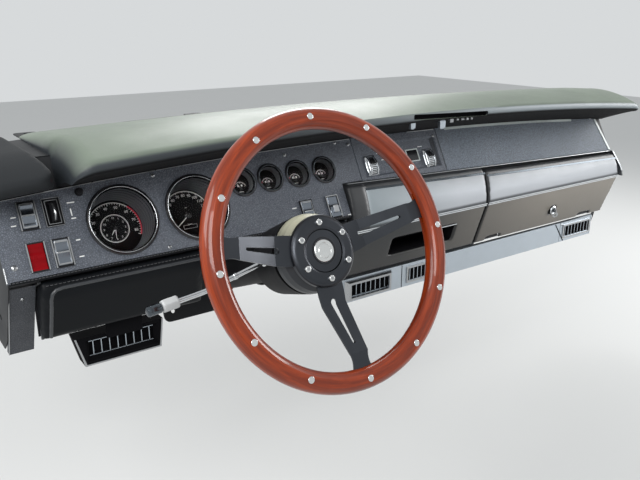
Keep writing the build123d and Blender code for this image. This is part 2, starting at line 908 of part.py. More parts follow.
def crease_bars(left_x, right_x):
    """The two slim bright bars just below the crease."""
    with BuildPart() as bars:
        for high in (crease_z - 1, crease_z - 1 - crease_bar - crease_groove):
            low = high - crease_bar
            with BuildSketch(Plane.YZ.offset(left_x)):
                with BuildLine():
                    Polyline(
                        (face_y(high) - 0.01, high),
                        (face_y(high) - trim_thickness, high),
                        (face_y(low) - trim_thickness, low),
                        (face_y(low) - 0.01, low),
                        close=True,
                    )
                make_face()
            extrude(amount=right_x - left_x)
    return bars.part


with BuildPart() as roll_trims:
    with BuildPart(mode=Mode.PRIVATE) as strip:
        add(padded_body(border_right_x, roll_seam_x, back_y, trim_thickness))
        add(padded_body(border_right_x, roll_seam_x, back_y), mode=Mode.SUBTRACT)
        with BuildSketch(Plane.XZ.offset(200)):
            with BuildLine():
                Polyline(
                    (border_right_x + 0.1, border_foot_z),
                    (border_right_x + 0.1, roll_top(border_right_x) - strip_drop),
                    (roll_seam_x, roll_top(roll_seam_x) - strip_drop),
                    (roll_seam_x, roll_top(roll_seam_x) - strip_drop - strip_width),
                    (border_right_x + strip_width, roll_top(border_right_x) - strip_drop - strip_width),
                    (border_right_x + strip_width, border_foot_z),
                    close=True,
                )
            make_face()
        extrude(amount=200, mode=Mode.INTERSECT)
    add(strip.part)
    add(crease_bars(roll_left_x, roll_seam_x))
save(roll_trims.part, "roll_trims")

with BuildPart() as cubby:
    with BuildSketch(Plane.YZ.offset(cubby_left_x)):
        with BuildLine():
            Polyline(
                (face_y(cubby_top_z) + cubby_inset, cubby_top_z),
                (face_y(cubby_bottom_z) + cubby_inset, cubby_bottom_z),
                (back_y + cubby_depth, cubby_bottom_z),
                (back_y + cubby_depth, cubby_top_z),
                close=True,
            )
        make_face()
    extrude(amount=cubby_right_x - cubby_left_x)
    with BuildSketch(Plane.YZ.offset(cubby_left_x + cubby_wall)):
        with BuildLine():
            Polyline(
                (face_y(cubby_top_z) - 40, cubby_top_z - cubby_wall),
                (face_y(cubby_bottom_z) - 40, cubby_bottom_z + cubby_wall),
                (back_y + cubby_depth - cubby_wall, cubby_bottom_z + cubby_wall),
                (back_y + cubby_depth - cubby_wall, cubby_top_z - cubby_wall),
                close=True,
            )
        make_face()
    extrude(amount=cubby_right_x - cubby_left_x - 2 * cubby_wall, mode=Mode.SUBTRACT)
save(cubby.part, "cubby")

# Knee pads on both sides of the column
with BuildPart() as knee_pads:
    for left, right in ((knee_left_x, column_x - column_notch), (column_x + column_notch, knee_right_x)):
        with BuildSketch(Plane.YZ.offset(left)):
            with BuildLine():
                Line((back_y, knee_back_z), (knee_top_y, knee_top_z))
                ThreePointArc(
                    (knee_top_y, knee_top_z),
                    ((knee_top_y + crease_y) / 2 - roll_bulge / 2, (knee_top_z + crease_z) / 2),
                    (crease_y, crease_z),
                )
                Polyline((crease_y, crease_z), (knee_low_y, knee_low_z), (back_y, knee_low_z), (back_y, knee_back_z))
            make_face()
        extrude(amount=right - left)
save(knee_pads.part, "knee_pads")

with BuildPart() as end_block:
    with BuildSketch(Plane.YZ.offset(block_left_x)):
        with BuildLine():
            Polyline(
                (block_front_y, block_top_z),
                (block_low_y, block_low_z),
                (block_low_y + 14, block_low_z),
                (web_y, block_back_z - 7),
                (web_y, block_back_z),
                close=True,
            )
        make_face()
    extrude(amount=block_right_x - block_left_x)
save(end_block.part, "end_block")

# Lower band and vents
band_centre_z = (band_top_z + band_bottom_z) / 2
with BuildPart() as lower_band:
    for left, right in ((band_left_x, band_seam_x), (band_seam_x + seam_gap, band_right_x)):
        with BuildSketch(Plane.YZ.offset(left)):
            with BuildLine():
                Polyline(
                    (web_y - seat_gap, band_top_z),
                    (band_y, band_top_z),
                    (band_y, band_bottom_z),
                    (web_y - seat_gap, band_bottom_z),
                    (web_y - seat_gap, band_bottom_z + band_thickness),
                    (band_y + band_thickness, band_bottom_z + band_thickness),
                    (band_y + band_thickness, band_top_z - band_thickness),
                    (web_y - seat_gap, band_top_z - band_thickness),
                    close=True,
                )
            make_face()
        extrude(amount=right - left)
    with BuildSketch(Plane.XZ.offset(-web_y)):
        for x, width in band_vents:
            with Locations((x, band_centre_z)):
                Rectangle(width - vent_frame, vent_high - vent_frame)
    extrude(amount=40, mode=Mode.SUBTRACT)
save(lower_band.part, "lower_band")

with BuildPart() as vent_frames:
    # flared bezel of the vent beside the column, then the flat frames
    x, width = band_vents[0]
    for z, grow in ((-band_y, bezel_flare), (-band_y + bezel_reach, 1)):
        with BuildSketch(Plane.XZ.offset(z)):
            with Locations((x, band_centre_z)):
                Rectangle(width + 2 * grow, vent_high + grow)
    loft()
    with BuildSketch(Plane.XZ.offset(-band_y)):
        for x, width in band_vents[1:]:
            with Locations((x, band_centre_z)):
                Rectangle(width, vent_high)
    extrude(amount=vent_frame_thickness)
    with BuildSketch(Plane.XZ.offset(-band_y)):
        for x, width in band_vents:
            with Locations((x, band_centre_z)):
                Rectangle(width - 2 * vent_frame, vent_high - 2 * vent_frame)
    extrude(amount=bezel_reach + 1, mode=Mode.SUBTRACT)
    # bright edge of the driver's vent at its sides and foot
    with BuildSketch(Plane.XZ.offset(-driver_vent_y)):
        with BuildLine():
            Polyline(
                (driver_vent_top[0], driver_vent_top_z),
                (driver_vent_bottom[0], driver_vent_bottom_z),
                (driver_vent_bottom[1], driver_vent_bottom_z),
                (driver_vent_top[1], driver_vent_top_z),
                (driver_vent_top[1] - driver_vent_edge, driver_vent_top_z),
                (driver_vent_bottom[1] - driver_vent_edge, driver_vent_bottom_z + driver_vent_edge),
                (driver_vent_bottom[0] + driver_vent_edge, driver_vent_bottom_z + driver_vent_edge),
                (driver_vent_top[0] + driver_vent_edge, driver_vent_top_z),
                close=True,
            )
        make_face()
    extrude(amount=trim_thickness)
save(vent_frames.part, "vent_frames")

driver_slats = (driver_vent_x, driver_vent_width, driver_vent_y + driver_vent_well, driver_vent_z, driver_vent_high)
with BuildPart() as vent_slats:
    for x, inner, y, z, high in [
        (x, width - 2 * vent_frame, band_y, band_centre_z, vent_high - 2 * vent_frame) for x, width in band_vents
    ] + [driver_slats]:
        with BuildSketch(Plane.XZ.offset(-y)):
            with Locations((x, z)):
                with GridLocations(inner / slat_count, 1, slat_count, 1):
                    Rectangle(slat_thickness, high)
                for edge in (-1, 1):
                    with Locations((0, edge * (high / 2 - 0.5))):
                        Rectangle(inner, 1)
        extrude(amount=-slat_depth)
save(vent_slats.part, "vent_slats")

# Driver's vent: a trapezoid box under the knee pad with a sloping well around its grille
with BuildPart() as driver_vent:
    with BuildSketch(Plane.XZ.offset(-driver_vent_y)):
        with BuildLine():
            Polyline(
                (driver_vent_top[0], driver_vent_top_z),
                (driver_vent_bottom[0], driver_vent_bottom_z),
                (driver_vent_bottom[1], driver_vent_bottom_z),
                (driver_vent_top[1], driver_vent_top_z),
                close=True,
            )
        make_face()
    extrude(amount=-vent_depth)
    with BuildSketch(Plane.XZ.offset(-driver_vent_y)):
        with Locations((driver_vent_x, driver_vent_z + 1)):
            Rectangle(driver_vent_width + 14, driver_vent_high + 12)
    with BuildSketch(Plane.XZ.offset(-driver_vent_y - driver_vent_well)):
        with Locations((driver_vent_x, driver_vent_z)):
            Rectangle(driver_vent_width, driver_vent_high)
    loft(mode=Mode.SUBTRACT)
    with BuildSketch(Plane.XZ.offset(-driver_vent_y)):
        with Locations((driver_vent_x, driver_vent_z)):
            Rectangle(driver_vent_width, driver_vent_high)
    extrude(amount=-vent_depth, mode=Mode.SUBTRACT)
    # hanger up to the web
    with BuildSketch(Plane.XZ.offset(-web_back)):
        with Locations((driver_vent_x, (driver_vent_top_z + web_low_z) / 2 + 3)):
            Rectangle(60, web_low_z - driver_vent_top_z + 18)
    extrude(amount=-sheet)
    with BuildSketch(Plane.XZ.offset(-web_back)):
        with Locations((driver_vent_x, driver_vent_top_z - 2)):
            Rectangle(60, 4)
    extrude(amount=-(driver_vent_y - web_back + 4))
save(driver_vent.part, "driver_vent")

# Glovebox: bin, door, lock and hinge
with BuildPart() as glovebox_bin:
    with BuildSketch(Plane.XZ.offset(-web_back)):
        with Locations((door_centre_x, bin_centre_z)):
            Rectangle(bin_width + 2 * bin_flange, bin_height + 2 * bin_wall)
    extrude(amount=-bin_depth, taper=bin_taper)
    with BuildSketch(Plane.XZ.offset(-web_back)):
        with Locations((door_centre_x, bin_centre_z)):
            Rectangle(bin_width, bin_height)
    extrude(amount=-(bin_depth - bin_wall), taper=bin_taper, mode=Mode.SUBTRACT)
save(glovebox_bin.part, "glovebox_bin")


def right_edge(z):
    """The X of the door's slanted right edge at a height above its crease."""
    share = (z - crease_z) / (roll_top(door_right_top) - crease_z)
    return door_right_x + (door_right_top - door_right_x) * share


def door_outline(inset=0):
    """The door's outline across the dash, with its slanted right edge."""
    top = roll_top(door_left_x) - door_top_drop
    top_right_z = roll_top(door_right_top) - door_top_drop
    return (
        (door_left_x + inset, lower_z),
        (door_left_x + inset, top),
        (right_edge(top_right_z) - inset, top_right_z),
        (door_right_x - inset, crease_z),
        (door_right_low - inset, lower_z),
    )


door_back_y = web_y - moving_gap
lock_face_y = face_y(lock_z)
with BuildPart() as glovebox_door:
    add(padded_body(door_left_x, door_right_x, door_back_y - door_skin))
    with BuildSketch(Plane.XZ.offset(200)):
        with BuildLine():
            Polyline(*door_outline(), close=True)
        make_face()
    extrude(amount=200, mode=Mode.INTERSECT)
    fillet(glovebox_door.faces().sort_by(Axis.Z)[-1].edges().sort_by(Axis.Y)[0], roll_edge_round)
    with BuildSketch(Plane.XZ.offset(-(door_back_y + 1))):
        with Locations((lock_x, lock_z)):
            Circle(lock_diameter / 2 + seat_gap)
    extrude(amount=60, mode=Mode.SUBTRACT)
    # pockets around the hinges behind the lower lip
    with BuildSketch(Plane.XZ.offset(-door_back_y)):
        for x in hinges_x:
            with Locations((x, (hinge_notch_top + lower_z) / 2)):
                Rectangle(2 * hinge_notch_half, hinge_notch_top - lower_z + 0.02)
    extrude(amount=door_back_y - hinge_notch_front, mode=Mode.SUBTRACT)
save(glovebox_door.part, "glovebox_door")

with BuildPart() as door_trims:
    with BuildPart(mode=Mode.PRIVATE) as strip:
        add(padded_body(door_left_x, door_right_x, back_y, trim_thickness))
        add(padded_body(door_left_x, door_right_x, back_y), mode=Mode.SUBTRACT)
        strip_top = door_top_drop + strip_drop
        add(band_between(door_left_x, right_edge(-150), strip_top, strip_top + strip_width), mode=Mode.INTERSECT)
    add(strip.part)
    add(crease_bars(door_left_x, door_right_x))
    with BuildSketch(Plane.XZ.offset(200)):
        with BuildLine():
            Polyline(*door_outline(1), close=True)
        make_face()
    extrude(amount=200, mode=Mode.INTERSECT)
save(door_trims.part, "door_trims")

# Steel back of the door with its hinge knuckles
with BuildPart() as door_back:
    with BuildSketch(Plane.XZ.offset(-door_back_y)):
        with BuildLine():
            Polyline(*door_outline(1), close=True)
        make_face()
        for x in hinges_x:
            with Locations((x, (hinge_notch_top + lower_z) / 2)):
                Rectangle(2 * hinge_notch_half, hinge_notch_top - lower_z + 0.02, mode=Mode.SUBTRACT)
                with Locations((0, (hinge_z - lower_z) / 2)):
                    Rectangle(hinge_knuckle, hinge_notch_top - hinge_z + 0.02)
    extrude(amount=door_skin)
    for x in hinges_x:
        with BuildSketch(Plane.YZ.offset(x - hinge_knuckle / 2)):
            with Locations((hinge_y, hinge_z)):
                Circle(hinge_tube_radius)
        extrude(amount=hinge_knuckle)
        with BuildSketch(Plane.YZ.offset(x - hinge_knuckle)):
            with Locations((hinge_y, hinge_z)):
                Circle(hinge_pin_radius + hinge_clearance)
        extrude(amount=2 * hinge_knuckle, mode=Mode.SUBTRACT)
save(door_back.part, "door_back")

# Frame side of the hinges: leaves behind the web that carry the pins
with BuildPart() as door_hinges:
    for x in hinges_x:
        for left in (x - hinge_knuckle / 2 - 0.5 - fixed_knuckle, x + hinge_knuckle / 2 + 0.5):
            with BuildSketch(Plane.YZ.offset(left)):
                with Locations((hinge_y, hinge_z)):
                    Circle(hinge_tube_radius)
                with BuildLine():
                    Polyline(
                        (hinge_y, hinge_z - hinge_tube_radius),
                        (hinge_y, hinge_z + hinge_tube_radius),
                        (web_back + 0.01, hinge_slot_top - 2),
                        (web_back + 0.01, hinge_leaf_top),
                        (web_back + hinge_leaf, hinge_leaf_top),
                        (web_back + hinge_leaf, hinge_z - hinge_tube_radius),
                        close=True,
                    )
                make_face()
            extrude(amount=fixed_knuckle)
        with BuildSketch(Plane.YZ.offset(x - hinge_knuckle / 2 - 0.5 - fixed_knuckle / 2)):
            with Locations((hinge_y, hinge_z)):
                Circle(hinge_pin_radius)
        extrude(amount=hinge_knuckle + 1 + fixed_knuckle)
save(door_hinges.part, "door_hinges")

with BuildPart() as glovebox_lock:
    with BuildSketch(Plane.XZ.offset(-(door_back_y - door_skin))):
        with Locations((lock_x, lock_z)):
            Circle(lock_diameter / 2)
    extrude(amount=door_back_y - door_skin - lock_face_y + lock_stand)
save(glovebox_lock.part, "glovebox_lock")

# Slanted cheek beside the door with its bright front edge
cheek_top_z = roll_top(frame_x) + 1
cheek_reach = door_slant + cheek_gap + cheek_thickness
cheek_front = (
    (crease_y + 17, cheek_top_z),
    (crease_y + 12, crease_z + 49),
    (crease_y + 1, crease_z + 26),
    (crease_y - 3, crease_z + 11),
    (crease_y - 3, cheek_low_z),
)


def cheek(front_points, back_points):
    """A slanted thin wall beside the door between its front and its back outline."""
    with BuildPart() as wall:
        with BuildSketch(Plane.XZ.offset(-web_y)):
            with BuildLine():
                Polyline(
                    (right_edge(cheek_top_z) + cheek_gap, cheek_top_z),
                    (right_edge(cheek_top_z) + cheek_gap + cheek_thickness, cheek_top_z),
                    (right_edge(cheek_low_z) + cheek_gap + cheek_thickness, cheek_low_z),
                    (right_edge(cheek_low_z) + cheek_gap, cheek_low_z),
                    close=True,
                )
            make_face()
        extrude(amount=60)
        with BuildSketch(Plane.YZ.offset(door_right_x)):
            with BuildLine():
                Polyline(*front_points, *back_points, close=True)
            make_face()
        extrude(amount=2 * cheek_reach, both=True, mode=Mode.INTERSECT)
    return wall.part


with BuildPart() as end_cheek:
    add(cheek(cheek_front, ((web_y, cheek_low_z), (web_y, cheek_top_z))))
save(end_cheek.part, "end_cheek")

with BuildPart() as cheek_trim:
    add(cheek([(y - 2, z) for y, z in cheek_front], list(reversed(cheek_front))))
save(cheek_trim.part, "cheek_trim")

# Steering wheel
wheel_radius = wheel_diameter / 2
rim_centre_radius = wheel_radius - rim_diameter / 2
rim_flat_z = ((rim_diameter / 2) ** 2 - rim_flat_half**2) ** 0.5
rim_plane = wheel_plane.offset(-rim_setback)
hub_plane = wheel_plane.offset(-hub_setback)


def along_column(distance):
    """The plane square to the column at this distance from the wheel's rivets."""
    return wheel_plane.offset(-distance)


side_plane = Plane(origin=wheel_plane.origin, x_dir=(1, 0, 0), z_dir=wheel_plane.y_dir)

def bent_spoke(angle):
    """One dished, tapered spoke with its long slot."""
    outward = wheel_plane.x_dir.rotate(Axis((0, 0, 0), wheel_plane.z_dir), angle)
    face = Plane(origin=wheel_plane.origin, x_dir=outward, z_dir=wheel_plane.z_dir)
    edge = Plane(origin=face.origin, x_dir=outward, z_dir=face.y_dir * -1)
    reach = plate_inner_radius + 4
    with BuildPart() as spoke:
        with BuildSketch(edge):
            with BuildLine():
                Polyline(
                    (spoke_start, -hub_setback - plate_thickness),
                    (spoke_bend_inner + 1, -hub_setback - plate_thickness),
                    (spoke_bend_outer + 1, -rim_setback - plate_thickness / 2),
                    (reach, -rim_setback - plate_thickness / 2),
                    (reach, -rim_setback + plate_thickness / 2),
                    (spoke_bend_outer - 1, -rim_setback + plate_thickness / 2),
                    (spoke_bend_inner - 1, -hub_setback),
                    (spoke_start, -hub_setback),
                    close=True,
                )
            make_face()
        extrude(amount=60, both=True)
        with BuildSketch(face):
            with BuildLine():
                Polyline(
                    (spoke_start, -spoke_root_half),
                    (spoke_start, spoke_root_half),
                    (spoke_straight, spoke_root_half),
                    (spoke_bend_outer, spoke_waist_half),
                )
                RadiusArc((spoke_bend_outer, spoke_waist_half), (reach, spoke_flare_half), -spoke_flare_arc)
                Line((reach, spoke_flare_half), (reach, -spoke_flare_half))
                RadiusArc((reach, -spoke_flare_half), (spoke_bend_outer, -spoke_waist_half), -spoke_flare_arc)
                Polyline((spoke_bend_outer, -spoke_waist_half), (spoke_straight, -spoke_root_half), (spoke_start, -spoke_root_half))
            make_face()
            with BuildLine():
                Line((spoke_slot_start, -spoke_slot_wide), (spoke_slot_end, -spoke_slot_narrow))
                ThreePointArc(
                    (spoke_slot_end, -spoke_slot_narrow),
                    (spoke_slot_end + spoke_slot_narrow, 0),
                    (spoke_slot_end, spoke_slot_narrow),
                )
                Line((spoke_slot_end, spoke_slot_narrow), (spoke_slot_start, spoke_slot_wide))
                ThreePointArc(
                    (spoke_slot_start, spoke_slot_wide),
                    (spoke_slot_start - spoke_slot_wide, 0),
                    (spoke_slot_start, -spoke_slot_wide),
                )
            make_face(mode=Mode.SUBTRACT)
        extrude(amount=-80, mode=Mode.INTERSECT)
    return spoke.part


spokes = [bent_spoke(angle) for angle in spoke_angles]
with BuildPart() as wheel_spokes:
    with BuildSketch(hub_plane.offset(-plate_thickness)):
        Circle(hub_radius)
    extrude(amount=plate_thickness)
    with BuildSketch(rim_plane):
        Circle(plate_outer_radius)
        Circle(plate_inner_radius, mode=Mode.SUBTRACT)
    extrude(amount=plate_thickness / 2, both=True)
    add(spokes)
    with BuildSketch(hub_plane.offset(1)):
        Circle(shaft_radius + seat_gap)
    extrude(amount=-10, mode=Mode.SUBTRACT)
save(wheel_spokes.part, "wheel_spokes")

with BuildPart() as wheel_rim:
    with BuildSketch(Plane(origin=rim_plane.origin, x_dir=(1, 0, 0), z_dir=rim_plane.y_dir * -1)):
        with BuildLine():
            ThreePointArc(
                (rim_centre_radius - rim_flat_half, rim_flat_z),
                (rim_centre_radius, -rim_diameter / 2),
                (rim_centre_radius + rim_flat_half, rim_flat_z),
            )
            Line(
                (rim_centre_radius + rim_flat_half, rim_flat_z),
                (rim_centre_radius - rim_flat_half, rim_flat_z),
            )
        make_face()
    revolve(axis=Axis(rim_plane.origin, rim_plane.z_dir))
    with BuildSketch(rim_plane):
        Circle(plate_outer_radius + 0.2)
        Circle(plate_inner_radius - 0.2, mode=Mode.SUBTRACT)
        for angle in spoke_angles:
            with PolarLocations(rim_centre_radius - 10, 1, start_angle=angle):
                Rectangle(20, 2 * spoke_flare_half + 0.6)
    extrude(amount=plate_thickness / 2 + 0.1, both=True, mode=Mode.SUBTRACT)
    with BuildSketch(rim_plane.offset(rim_flat_z - rivet_pocket)):
        with PolarLocations(rim_centre_radius, rivet_count, start_angle=0):
            Circle(rivet_head / 2 + 0.05)
    extrude(amount=2 * rivet_pocket, mode=Mode.SUBTRACT)
save(wheel_rim.part, "wheel_rim")

with BuildPart() as rim_rivets:
    with BuildSketch(rim_plane.offset(rim_flat_z - rivet_pocket)):
        with PolarLocations(rim_centre_radius, rivet_count, start_angle=0):
            Circle(rivet_head / 2)
    extrude(amount=rivet_pocket + rivet_stand)
    fillet(rim_rivets.faces().sort_by(Axis((0, 0, 0), rim_plane.z_dir))[-rivet_count:].edges(), rivet_stand)
save(rim_rivets.part, "rim_rivets")

side_section = Plane(origin=wheel_plane.origin, x_dir=(1, 0, 0), z_dir=wheel_plane.y_dir * -1)
ring_face = -hub_setback + hub_ring_thickness
with BuildPart() as hub_ring:
    with BuildSketch(side_section):
        with BuildLine():
            Polyline((hub_ring_inner, ring_face - 1.5), (hub_ring_inner, -hub_setback), (hub_radius, -hub_setback), (hub_radius, ring_face - 4))
            ThreePointArc((hub_radius, ring_face - 4), (hub_radius - 3.5, ring_face - 1), (hub_radius - 8, ring_face))
            Polyline((hub_radius - 8, ring_face), (hub_ring_inner + 3, ring_face), (hub_ring_inner, ring_face - 1.5))
        make_face()
    revolve(axis=Axis(wheel_plane.origin, wheel_plane.z_dir))
save(hub_ring.part, "hub_ring")

with BuildPart() as hub_bolts:
    with BuildSketch(hub_plane.offset(hub_ring_thickness)):
        with PolarLocations(hub_bolt_circle / 2, hub_bolt_count, start_angle=90):
            Circle(hub_bolt_head / 2)
    extrude(amount=hub_bolt_height)
    fillet(hub_bolts.faces().sort_by(Axis((0, 0, 0), hub_plane.z_dir))[-hub_bolt_count:].edges(), 1.2)
save(hub_bolts.part, "hub_bolts")

with BuildPart() as horn_button:
    with BuildSketch(hub_plane):
        Circle(horn_radius)
    extrude(amount=horn_thickness)
    fillet(horn_button.faces().sort_by(Axis((0, 0, 0), hub_plane.z_dir))[-1].edges(), 1.5)
save(horn_button.part, "horn_button")

with BuildPart() as hub_adapter:
    with BuildSketch(side_section):
        with BuildLine():
            Polyline(
                (shaft_radius + seat_gap, -hub_setback - plate_thickness),
                (41, -hub_setback - plate_thickness),
                (47, -51),
                (adapter_radius - 2, -60),
                (adapter_radius, -70),
                (adapter_radius, -adapter_end),
                (adapter_radius - adapter_wall, -adapter_end),
                (adapter_radius - adapter_wall, -70),
                (adapter_radius - adapter_wall - 3, -61),
                (40, -54),
                (adapter_boss, -54),
                (adapter_boss, -adapter_end),
                (shaft_radius + seat_gap, -adapter_end),
                close=True,
            )
        make_face()
    revolve(axis=Axis(wheel_plane.origin, wheel_plane.z_dir))
save(hub_adapter.part, "hub_adapter")

with BuildPart() as steering_shaft:
    with BuildSketch(hub_plane.offset(-plate_thickness)):
        Circle(shaft_radius)
    extrude(amount=-(shaft_step - hub_setback - plate_thickness))
    with BuildSketch(along_column(shaft_step)):
        Circle(shaft_end_radius)
    extrude(amount=-(shaft_end - shaft_step))
save(steering_shaft.part, "steering_shaft")

# Column
with BuildPart() as column_jacket:
    with BuildSketch(along_column(jacket_start)):
        Circle(jacket_radius)
        Circle(jacket_radius - jacket_wall, mode=Mode.SUBTRACT)
    extrude(amount=-(jacket_end - jacket_start))
save(column_jacket.part, "column_jacket")

with BuildPart() as column_bearings:
    for at in (jacket_start + 4, jacket_end - 4 - bearing_length):
        with BuildSketch(along_column(at)):
            Circle(jacket_radius - jacket_wall)
            Circle(shaft_radius + shaft_clearance, mode=Mode.SUBTRACT)
        extrude(amount=-bearing_length)
save(column_bearings.part, "column_bearings")

# Signal lever: bent rod, hexagon collar and barrel knob
lever_frame = along_column(lever_at)
lever_points = [Vector(*lever_frame.from_local_coords((x, y, 0))) for x, y in (lever_root, lever_bend, lever_tip)]
root_plane = Plane(origin=lever_points[0], z_dir=lever_points[1] - lever_points[0])
root_length = (lever_points[1] - lever_points[0]).length
knob_plane = Plane(origin=lever_points[2], z_dir=lever_points[1] - lever_points[2])
knob_length = (lever_points[1] - lever_points[2]).length
with BuildPart() as signal_housing:
    with BuildSketch(side_section):
        with BuildLine():
            Polyline(
                (housing_radius - housing_wall, -housing_start),
                (housing_radius, -housing_start),
                (housing_radius - 1, -housing_shoulder),
                (housing_radius - 5, -housing_waist),
                (jacket_radius + 7, -housing_end),
                (jacket_radius + seat_gap, -housing_end),
                (jacket_radius + seat_gap, -housing_end + 6),
                (housing_radius - 9, -housing_waist + 4),
                (housing_radius - 1 - housing_wall, -housing_shoulder),
                close=True,
            )
        make_face()
    revolve(axis=Axis(wheel_plane.origin, wheel_plane.z_dir))
    with BuildSketch(root_plane.offset(-6)):
        Circle(lever_boss_radius + seat_gap)
    extrude(amount=26, mode=Mode.SUBTRACT)
save(signal_housing.part, "signal_housing")

with BuildPart() as signal_lever:
    with BuildSketch(root_plane.offset(-4)):
        Circle(lever_boss_radius)
    extrude(amount=14)
    with BuildSketch(root_plane):
        Circle(lever_radius)
    extrude(amount=root_length)
    with Locations(lever_points[1]):
        Sphere(lever_radius)
    with BuildSketch(knob_plane):
        Circle(lever_radius)
    extrude(amount=knob_length)
    with BuildSketch(knob_plane.offset(lever_barrel_length + 1)):
        RegularPolygon(lever_collar_radius, 6)
    extrude(amount=lever_collar_length)
    with BuildSketch(knob_plane):
        Circle(lever_barrel_radius)
    extrude(amount=lever_barrel_length)
    fillet(signal_lever.faces().sort_by(Axis((0, 0, 0), knob_plane.z_dir))[0].edges(), 1.5)
save(signal_lever.part, "signal_lever")

with BuildPart() as column_bracket:
    with BuildSketch(along_column(bracket_at)):
        Circle(jacket_radius + bracket_wall)
        Circle(jacket_radius + seat_gap, mode=Mode.SUBTRACT)
    extrude(amount=-bracket_length)
    for side in (-1, 1):
        with BuildSketch(Plane.YZ.offset(column_x + side * (jacket_radius + bracket_wall - 1))):
            with BuildLine():
                Polyline((web_back, bracket_top_z), (web_back, bracket_low_z), (-230, -262), (-230, -225), close=True)
            make_face()
        extrude(amount=side * sheet)
        with BuildSketch(Plane.XZ.offset(-web_back)):
            with Locations((column_x + side * (jacket_radius + 20), (bracket_top_z + bracket_low_z) / 2)):
                Rectangle(bracket_flange, bracket_top_z - bracket_low_z)
        extrude(amount=-sheet)
save(column_bracket.part, "column_bracket")

with BuildPart() as toe_plate:
    with BuildSketch(along_column(toe_plate_at)):
        RectangleRounded(toe_plate_size, toe_plate_size, 12)
        Circle(jacket_radius + seat_gap, mode=Mode.SUBTRACT)
        with PolarLocations(toe_bolt_circle / 2, 4, start_angle=45):
            Circle(toe_hole / 2, mode=Mode.SUBTRACT)
    extrude(amount=-toe_plate_thickness)
save(toe_plate.part, "toe_plate")
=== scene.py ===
from math import atan2, cos, hypot, pi, radians, sin, sqrt

import bmesh
import bpy
from mathutils import Matrix, Vector


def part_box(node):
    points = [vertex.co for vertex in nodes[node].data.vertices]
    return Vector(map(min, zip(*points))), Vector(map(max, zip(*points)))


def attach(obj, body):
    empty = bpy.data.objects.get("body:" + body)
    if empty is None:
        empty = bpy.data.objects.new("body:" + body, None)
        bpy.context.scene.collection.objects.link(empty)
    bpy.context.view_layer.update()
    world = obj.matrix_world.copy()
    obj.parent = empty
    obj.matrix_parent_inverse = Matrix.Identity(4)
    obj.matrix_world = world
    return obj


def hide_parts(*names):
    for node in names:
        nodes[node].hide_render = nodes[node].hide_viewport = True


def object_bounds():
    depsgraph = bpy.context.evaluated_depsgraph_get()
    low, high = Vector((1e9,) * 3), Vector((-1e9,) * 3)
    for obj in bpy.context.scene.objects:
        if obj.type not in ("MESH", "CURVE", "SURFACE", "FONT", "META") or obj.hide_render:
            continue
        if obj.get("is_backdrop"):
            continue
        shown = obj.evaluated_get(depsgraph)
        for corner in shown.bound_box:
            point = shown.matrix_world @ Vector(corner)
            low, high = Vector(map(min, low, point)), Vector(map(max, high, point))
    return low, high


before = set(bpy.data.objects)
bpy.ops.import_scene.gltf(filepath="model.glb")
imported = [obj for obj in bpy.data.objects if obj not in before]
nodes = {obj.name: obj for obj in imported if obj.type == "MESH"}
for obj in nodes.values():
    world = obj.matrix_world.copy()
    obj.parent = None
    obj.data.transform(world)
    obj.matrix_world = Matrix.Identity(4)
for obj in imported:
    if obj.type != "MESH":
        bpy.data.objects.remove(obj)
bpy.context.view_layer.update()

MM = 0.001

# Lengths are in millimetres in the frame of the solids, where no other unit is given.
end_x = 720
panel_lean = radians(28.6)
panel_origin = Vector((0, -299, -128))
crown_height = 116
crown_drop = 29.4
large_gauges = ((-538, 33), (-413, 33))
large_dial_depth = 50
cone_steps = 6
cone_radius = 49
cone_foot_radius = 45.2
large_bead_radius = 51.6
small_bead_radius = 22.6
print_height = 0.25
small_gauges = ((-322, 63), (-267, 63), (-209.5, 63), (-152, 63))
small_dial_depth = 24
small_insert_depth = 14.2
rockers_left = ((-671, 60.5), (-636.5, -0.5))
rockers_right = ((-211, -8.5), (-154, -8.5))
rocker_width = 20.6
rocker_height = 37
rocker_rise = 4.4
dimmer_at = (-636.5, 60.5)
dimmer_ribs = 36
dimmer_radius = 15
lamp_at = (-671, -0.5)
lamp_reach = 19.4
trip_knob_at = (-593, 85)
heater_thumbs_at = ((-38, 57), (113, 54))
window_at = (72, 66)
window_size = (28, 22)
heater_floor = -4
thumb_rise = 12.4
thumb_reach = 19.5
lamp_clips = ((-14, -3, 0, 11, -348), (61, 75, -6, 8, -347))
brow_slot_at = (86, -352, 17.5)
brow_slot_length = 198
brow_slot_height = 9.6
roll_left_x = -118
border_right_x = -80
roll_top_left = -103.6
roll_fall = 0.0294
roll_strip_drop = 8
door_strip_drop = 13
strip_width = 3.5
crease_y = -317
crease_z = -186
lower_y = -284
lower_z = -288
lock_at = Vector((505, -300, -248))
band_y = -280
web_back_y = -272.4
band_top_z = -296
band_bottom_z = -346
column_x = -363
wheel_origin = Vector((column_x, -600, -90))
column_rake = radians(23)
knee_pad_gap = 59
knee_stitch_pitch = 6
welt_stitch_pitch = 5
hub_setback = 45
hub_ring_thickness = 7
hub_bolt_circle = 77.5
lever_depth = 110
band_vents = ((-49, 106), (102, 96), (636, 112))
driver_vent = (-548, 108, -311, 28)

panel_right = Vector((1, 0, 0))
panel_up = Vector((0, sin(panel_lean), cos(panel_lean)))
panel_out = Vector((0, -cos(panel_lean), sin(panel_lean)))
wheel_out = Vector((0, -cos(column_rake), sin(column_rake)))
wheel_up = Vector((0, sin(column_rake), cos(column_rake)))


